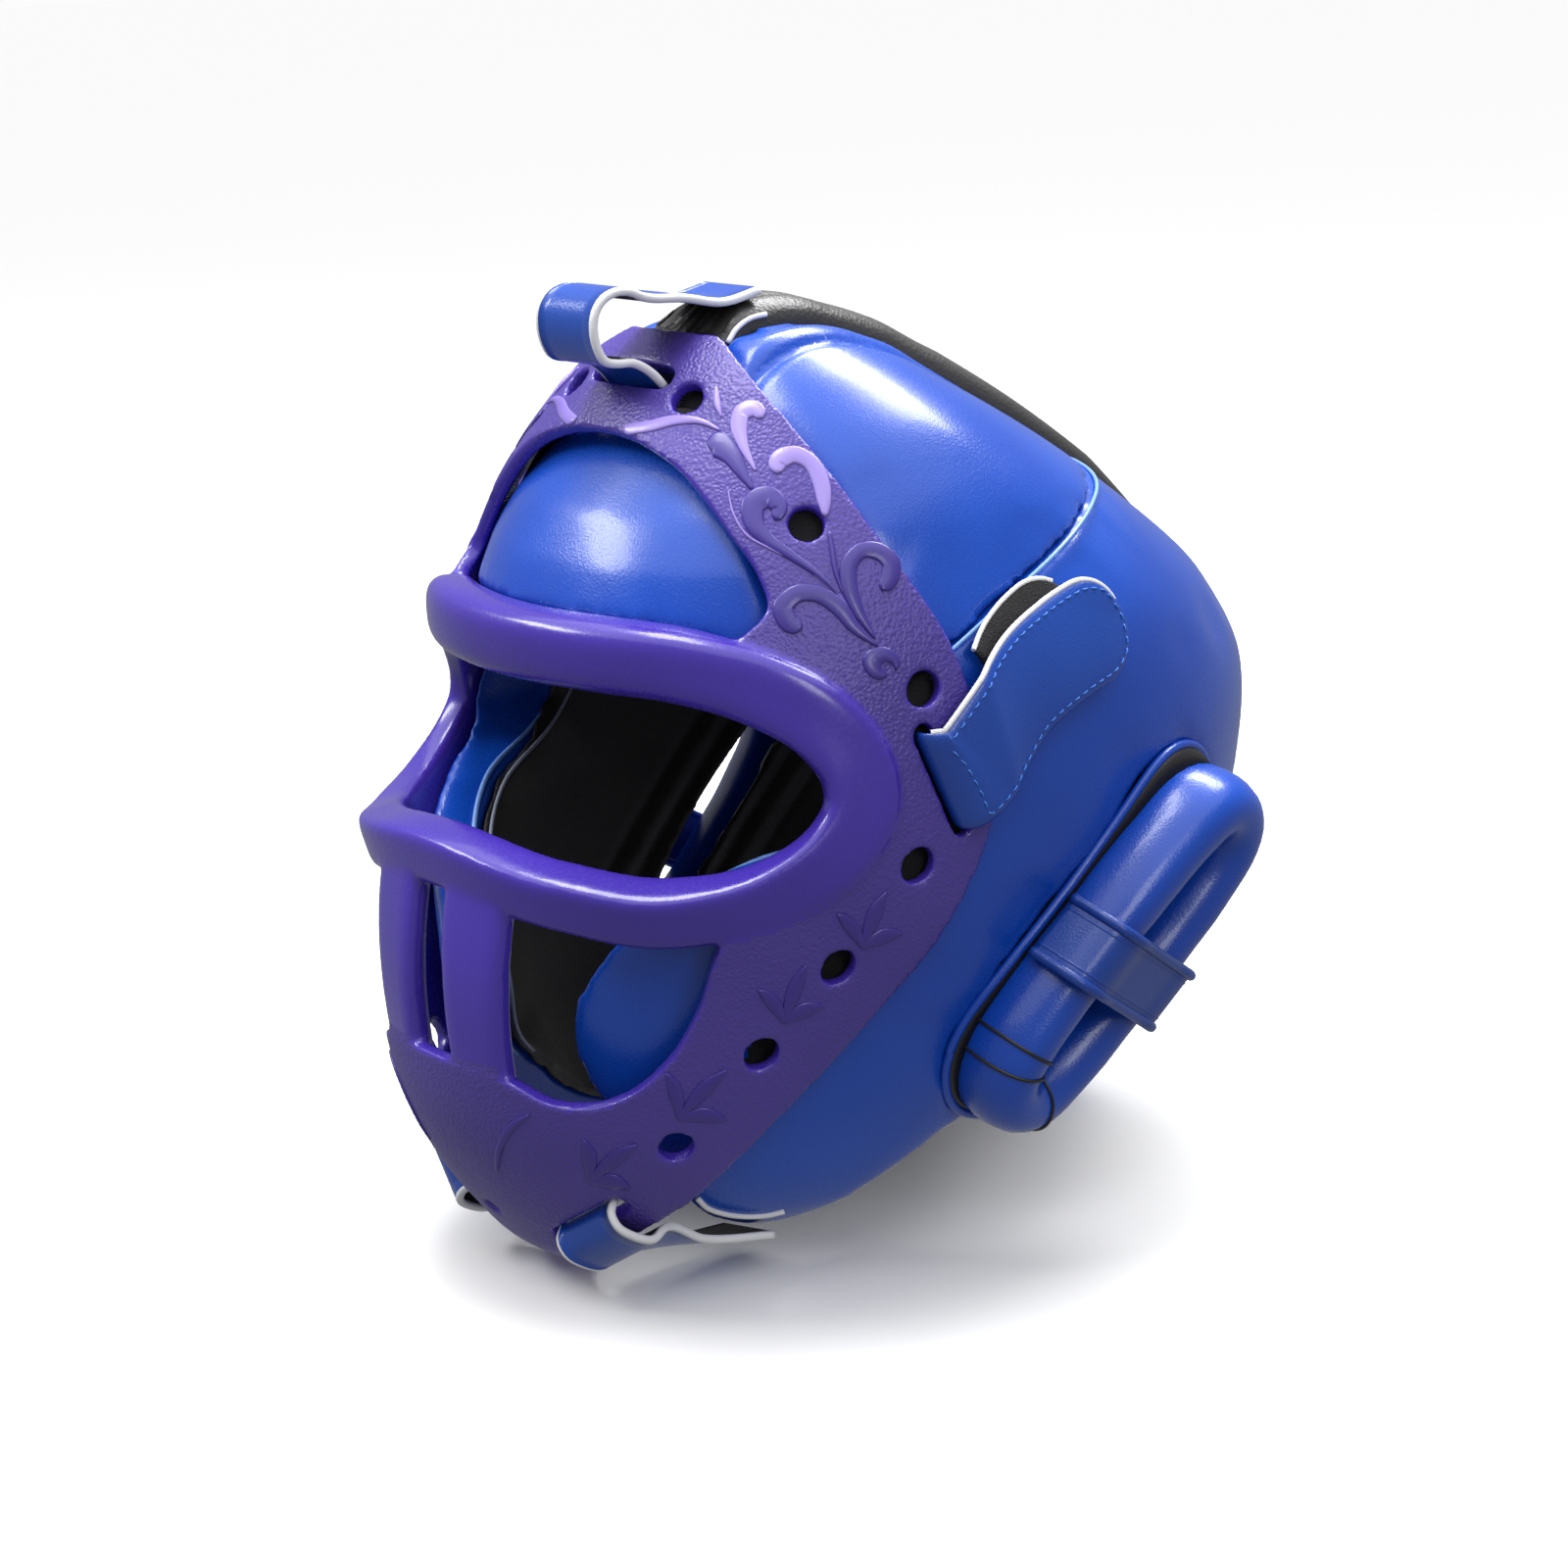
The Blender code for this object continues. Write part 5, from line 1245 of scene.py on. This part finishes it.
mouth, way, normal, crossing = slot_frame(LOWER_SLOT)
mouth = mouth - MODEL_SHIFT
rows = [(mouth + STRAP_THICKNESS * (a * crossing + b * normal), way) for a, b in LOWER_STRAP_TURN]
for place, lie in LOWER_STRAP_REST:
    rows.append((np.array(place) * (SHELL_HALF_WIDTH, SHELL_FRONT, SHELL_HEIGHT), np.array(lie)))
path = smooth_line([np.concatenate((p, np.array(a) * STRAP_THICKNESS)) for p, a in rows], 0.0015)
centres, across = path[:, :3] + MODEL_SHIFT, path[:, 3:]
out = unit(np.cross(across, np.gradient(centres, axis=0)))
across = unit(across)
for side, label in ((1, "left"), (-1, "right")):
    flip = np.array((side, 1, 1))
    low_strap = strap_piece(
        "lower_fixing_strap_" + label, centres * flip, across * flip, out * flip, LOWER_STRAP_WIDTH,
        black_hook, strap_blue)
    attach(low_strap, "root")
    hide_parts("lower_strap_" + label)

# ---------------------------------------------------------------------------------------------
# Side straps: blue tongues from the mask's side slots back over the crown seam, sewn round their
# border, with a black hook flap under each. Both have a white bound edge on top.
# ---------------------------------------------------------------------------------------------
SIDE_STRAP_WIDTH = 0.029
UNDER_FLAP_THICKNESS = 0.0018
SIDE_STRAP_LINE = ((-0.215, 0.580), (-0.15, 0.605), (-0.07, 0.634), (0.065, 0.663), (0.225, 0.684))
UNDER_FLAP_LINE = ((-0.10, 0.642), (-0.03, 0.665), (0.05, 0.684), (0.13, 0.700))
STITCH_LENGTH = 0.0021
STITCH_PITCH = 0.0034


def side_reach(form, y, z):
    """Half width of a form's outer face at places in side view."""
    share = z / form.height
    half_width, front, rear, widest = level_sizes(form, share)
    ahead = y < widest
    reach = np.where(ahead, front + widest, rear - widest)
    squareness = np.where(ahead, FRONT_SQUARENESS, REAR_SQUARENESS)
    room = np.maximum(1.0 - (np.abs(y - widest) / reach) ** squareness, 0.0)
    return half_width * room ** (1 / squareness)


def over_mask(y, z):
    """Half width of the outermost face below the side straps: the shell, or the mask up to its rim."""
    rim_turn = np.interp(z / SHELL_HEIGHT, [h for t, h in MASK_RIM[::-1]], [t for t, h in MASK_RIM[::-1]])
    rim_y = form_points(mask_form, np.radians(rim_turn), z / SHELL_HEIGHT)[..., 1] - MODEL_SHIFT[1]
    past = np.maximum(0.0, y - rim_y - 0.003)
    return np.maximum(side_reach(shell_form, y, z), side_reach(mask_form, y, z) - 0.5 * past)


def side_line(rows, step):
    """Smooth line in side view, its rows in shares of the shell's front or rear reach and its height."""
    points = [(y * (SHELL_FRONT if y < 0 else SHELL_REAR), z * SHELL_HEIGHT) for y, z in rows]
    return smooth_line(points, step)


def side_tongue(line, thickness, lift, through_slot):
    """Rows of section points of a strap that lies along the shell's left side, with a round free end."""
    path = side_line(line, 0.002)
    up = upright(path)
    half_end = SIDE_STRAP_WIDTH / 2
    missing = np.maximum(half_end - np.linalg.norm(path[-1] - path, axis=1), 0.0)
    half = np.sqrt(np.maximum(half_end ** 2 - missing ** 2, (0.2 * half_end) ** 2))
    u = np.sin(np.linspace(-0.5, 0.5, 17) * math.pi)
    thick = (1.0 - np.abs(u) ** 10) ** 0.5 * thickness / 2
    flat = path[:, None] + (u[None] * half[:, None])[..., None] * up[:, None]
    base = over_mask(flat[..., 0], flat[..., 1])
    raised = base.copy()
    for _ in range(30):
        raised[1:-1] = np.maximum((raised[:-2] + raised[1:-1] + raised[2:]) / 3, base[1:-1])
    raised += lift + thickness / 2
    under = np.concatenate((raised - thick, (raised + thick)[:, -2:0:-1]), axis=1)
    spread = np.concatenate((flat, flat[:, -2:0:-1]), axis=1)
    rows = np.concatenate((under[..., None], spread), axis=2)
    if through_slot:
        middle, way, normal, crossing = slot_frame(SIDE_SLOT)
        middle = middle - MODEL_SHIFT
        shares = np.concatenate((u, u[-2:0:-1]))
        lower = np.concatenate((np.ones(len(u)), -np.ones(len(u) - 2)))
        thin = np.concatenate((thick, thick[-2:0:-1]))
        root = []
        for depth, back in ((FIT_GAP - MASK_WALL, 0.0), (0.0008, 0.0), (0.0030, 0.0030)):
            place = middle + (shares * (SIDE_SLOT.length - SIDE_SLOT.width) / 2)[:, None] * way
            rise = 0.0 if not back else np.where(lower > 0, 0.0, 2.0) * thin
            place = place + (depth + rise)[:, None] * normal if back else place + depth * normal
            if not back:
                place = place + (lower * thin)[:, None] * crossing
            root.append(place + (0.0, back, 0.0))
        rows = np.concatenate((np.array(root), rows))
        packed = smooth_line(rows.reshape(len(rows), -1), 0.0012 * math.sqrt(rows.shape[1]))
        rows = packed.reshape(len(packed), -1, 3)
    return rows + MODEL_SHIFT


def skinned(name, rows):
    """Skin over rows of section points, shaded smooth but for its flat ends."""
    made = skin(name, rows)
    for face in made.data.polygons:
        face.use_smooth = len(face.vertices) == 4
    return made


def stitched(name, line, out, finish):
    """Row of short threads along a line of points, bedded in the surface."""
    line, out = np.asarray(line), np.asarray(out)
    lengths = np.concatenate(((0.0,), np.cumsum(np.linalg.norm(np.diff(line, axis=0), axis=1))))
    threads = []
    for start in np.arange(0.0008, lengths[-1] - STITCH_LENGTH, STITCH_PITCH):
        where = np.linspace(start, start + STITCH_LENGTH, 5)
        points = np.stack([np.interp(where, lengths, column) for column in line.T], axis=1)
        rise = np.stack([np.interp(where, lengths, column) for column in out.T], axis=1)
        bow = np.array((-0.00025, 0.00012, 0.00022, 0.00012, -0.00025))
        threads.append(tube("thread", points + rise * bow[:, None], 0.00025, 6))
    row = fused(threads, name)
    bpy.ops.object.shade_smooth()
    row.data.materials.append(finish)
    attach(row, "root")
    return row


pale_thread = hide("pale_blue_thread", (0.05, 0.20, 0.66), (0.035, 0.15, 0.55), 0.5, 3000.0, 400.0, 0.00005)
strap_rows = side_tongue(SIDE_STRAP_LINE, STRAP_THICKNESS, 4 * FIT_GAP + UNDER_FLAP_THICKNESS, True)
flap_rows = side_tongue(UNDER_FLAP_LINE, UNDER_FLAP_THICKNESS, 2 * FIT_GAP, False)
across_count = (strap_rows.shape[1] + 2) // 2
face_rows = np.concatenate((strap_rows[:, across_count - 1:], strap_rows[:, :1]), axis=1)
for side, label in ((1, "left"), (-1, "right")):
    flip = np.array((side, 1, 1))
    strap = skinned("side_strap_body_" + label, strap_rows * flip)
    strap.data.materials.append(strap_blue)
    top_edge = strap_rows[6:, across_count - 1] * flip
    edge = tube("edge", top_edge[:-1], 0.0008, 10)
    edge.data.materials.append(white_binding)
    strap = fused([strap, edge], "side_fixing_strap_" + label)
    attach(strap, "root")
    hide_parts("side_strap_" + label)
    flap = skinned("side_flap_body_" + label, flap_rows * flip)
    flap.data.materials.append(black_hook)
    edge = tube("edge", (flap_rows[:, across_count - 1] * flip)[:-2], 0.0007, 10)
    edge.data.materials.append(white_binding)
    flap = fused([flap, edge], "side_flap_" + label)
    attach(flap, "root")
    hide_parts("side_under_flap_" + label)

    # the seam runs in from the border all round the tongue
    upper, lower = face_rows[10:-7, 3], face_rows[10:-7, -4]
    tip = [face_rows[-7, 3], face_rows[-4, 6], face_rows[-3, 8], face_rows[-4, 10], face_rows[-7, -4]]
    near_end = [face_rows[10, k] for k in (-4, -7, 9, 7, 3)]
    border = np.vstack((upper, np.array(tip), lower[::-1], np.array(near_end[1:-1])))
    border = smooth_line(border, 0.001, closed=True)
    rise = np.tile((1.0, 0.0, 0.15), (len(border), 1))
    stitched("side_strap_seam_" + label, border * flip + 0.0001 * rise * flip, rise * flip, pale_thread)

# ---------------------------------------------------------------------------------------------
# Piping and seams: fine cords sewn in between the pads, round the ear openings and along the
# lining's front edge, white where the cover is turned over at the mask. A pale cord along the
# pads' rolled front edge is a painted highlight on that edge.
# ---------------------------------------------------------------------------------------------
CROWN_SEAM = ((-0.26, 0.669), (-0.18, 0.687), (0.05, 0.735), (0.33, 0.78), (0.56, 0.79))
PAD_EDGE = (
    (0.73, 0.675), (0.80, 0.60), (0.81, 0.545), (0.77, 0.510), (0.63, 0.485), (0.48, 0.440), (0.37, 0.390),
    (0.295, 0.340), (0.275, 0.290), (0.31, 0.245), (0.38, 0.190),
)
LINING_EDGE = (
    (0.66, 0.655), (0.75, 0.60), (0.765, 0.545), (0.73, 0.505), (0.60, 0.475), (0.45, 0.430), (0.34, 0.385),
    (0.26, 0.335), (0.24, 0.290), (0.28, 0.245), (0.36, 0.190),
)
# photograph pixels where the turned-over cover shows white at the crown and at the hem
CROWN_CORNER = ((781, 321), (764, 326), (750, 337), (742, 350))
HEM_CORNER = ((712, 1222), (721, 1231), (737, 1237), (758, 1240), (782, 1239), (800, 1235))
WELT_OUTSET = 0.0012
WELT_RADIUS = 0.0014
GUSSET_INSET = 0.0016
GUSSET_DROP = 0.006
GUSSET_THICKNESS = 0.0008


def edge_line(rows, inset, step):
    """Line on a layer of the shell whose shape is given in front view, in shares of its half size."""
    flat = smooth_line([(w * SHELL_HALF_WIDTH, h * SHELL_HEIGHT) for w, h in rows], step)
    wanted = flat.copy()
    for _ in range(12):
        share = wanted[:, 1] / SHELL_HEIGHT
        half_width = np.interp(share, shell_form.shares, shell_form.half_width)
        turn = np.arcsin(np.clip(np.abs(wanted[:, 0]) / half_width, 0.0, 0.999) ** (FRONT_SQUARENESS / 2))
        places = form_points(shell_form, turn, share) - inset * form_normals(shell_form, turn, share)
        wanted += flat - places[:, (0, 2)]
    return places


skin_points, skin_faces = [], []
for piece in (pads["side_panel_left"], pads["crown_panel_left"], strip):
    skin_faces += [tuple(i + len(skin_points) for i in face.vertices) for face in piece.data.polygons]
    skin_points += [tuple(p) for p in coordinates(piece)]
pad_skin = BVHTree.FromPolygons(skin_points, skin_faces)


def on_pad(px, py):
    """Place on the left side pad's skin at a place in the photograph."""
    place, normal, _, _ = pad_skin.ray_cast(Vector(CAMERA_PLACE), Vector(sight(px, py)))
    return None if place is None else np.array(place + 0.0003 * normal)


seam = side_line(CROWN_SEAM, 0.0015)
seam_x = side_reach(shell_form, seam[:, 0], seam[:, 1])
seam_line = np.column_stack((seam_x + 0.0003, seam)) + MODEL_SHIFT
seam_line = seam_line[seam_line[:, 0] > STRIP_HALF_WIDTH + 0.010]
for side, label in ((1, "left"), (-1, "right")):
    flip = np.array((side, 1, 1))
    cord = tube("crown_seam_piping_" + label, seam_line * flip, 0.0006, 8)
    cord.data.materials.append(pale_piping_and_highlight)
    corner_line = smooth_line([on_pad(*p) for p in CROWN_CORNER], 0.001) * flip
    corner = tube("crown_corner_piping_" + label, corner_line, 0.0008, 8)
    corner.data.materials.append(white_binding)
    hem_points = [on_pad(*p) for p in HEM_CORNER]
    hem_line = smooth_line([p for p in hem_points if p is not None], 0.001) * flip
    hem = tube("hem_piping_" + label, hem_line, 0.0009, 8)
    hem.data.materials.append(white_binding)
    lining_line = edge_line(LINING_EDGE, PAD_THICKNESS + 0.0036, 0.002) * flip
    lining_cord = tube("lining_piping_" + label, lining_line, 0.0006, 8)
    lining_cord.data.materials.append(grey_piping)
    # a pale cord on the pads' rolled front edge, a painted highlight along that edge
    pad_highlight_line = edge_line(PAD_EDGE, PAD_THICKNESS - 0.0012, 0.002) * flip
    pad_highlight_cord = tube("pad_edge_painted_highlight_" + label, pad_highlight_line, 0.0008, 8)
    pad_highlight_cord.data.materials.append(pale_piping_and_highlight)
    for piece in (cord, corner, hem, lining_cord, pad_highlight_cord):
        only(piece)
        bpy.ops.object.shade_smooth()
        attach(piece, "root")

    centre, along, across, out = ear_frame(side)
    oval = ear_outline(EAR_TUBE_WIDTH / 2 + WELT_OUTSET, 0.0015)
    places = []
    for a, b in oval:
        foot = centre + a * along + b * across
        place, normal, _, _ = shell_tree.ray_cast(Vector(foot + 0.05 * out), Vector(-out))
        places.append(np.array(place) - 0.0004 * np.array(normal))
    welt = tube("ear_welt_" + label, places, WELT_RADIUS, 10, closed=True)
    welt.data.materials.append(blue_leather)
    line = tube("ear_piping", np.array(places) + 0.0009 * out - 0.0001, 0.0004, 6, closed=True)
    line.data.materials.append(pale_piping_and_highlight)
    # the gusset runs from the welt in to the ring, in as many steps as the welt has
    inner = ear_outline(EAR_TUBE_WIDTH / 2 - GUSSET_INSET, 0.0015)
    inner = np.vstack((inner, inner[:1]))
    length = np.linalg.norm(np.diff(inner, axis=0), axis=1).sum()
    inner = smooth_line(inner, length / len(places))[:len(places)]
    outer_line = np.array(places[:len(inner)]) - 0.0003 * out
    inner_line = centre + inner[:, :1] * along + inner[:, 1:] * across + (EAR_RISE - GUSSET_DROP) * out
    thick = GUSSET_THICKNESS * out
    gusset = np.stack((outer_line, inner_line, inner_line - thick, outer_line - thick), axis=1)
    gusset = skin("gusset", gusset, closed=True)
    gusset.data.materials.append(dark_piping)
    welt = fused([welt, line, gusset], "ear_welt_" + label)
    bpy.ops.object.shade_smooth()
    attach(welt, "root")
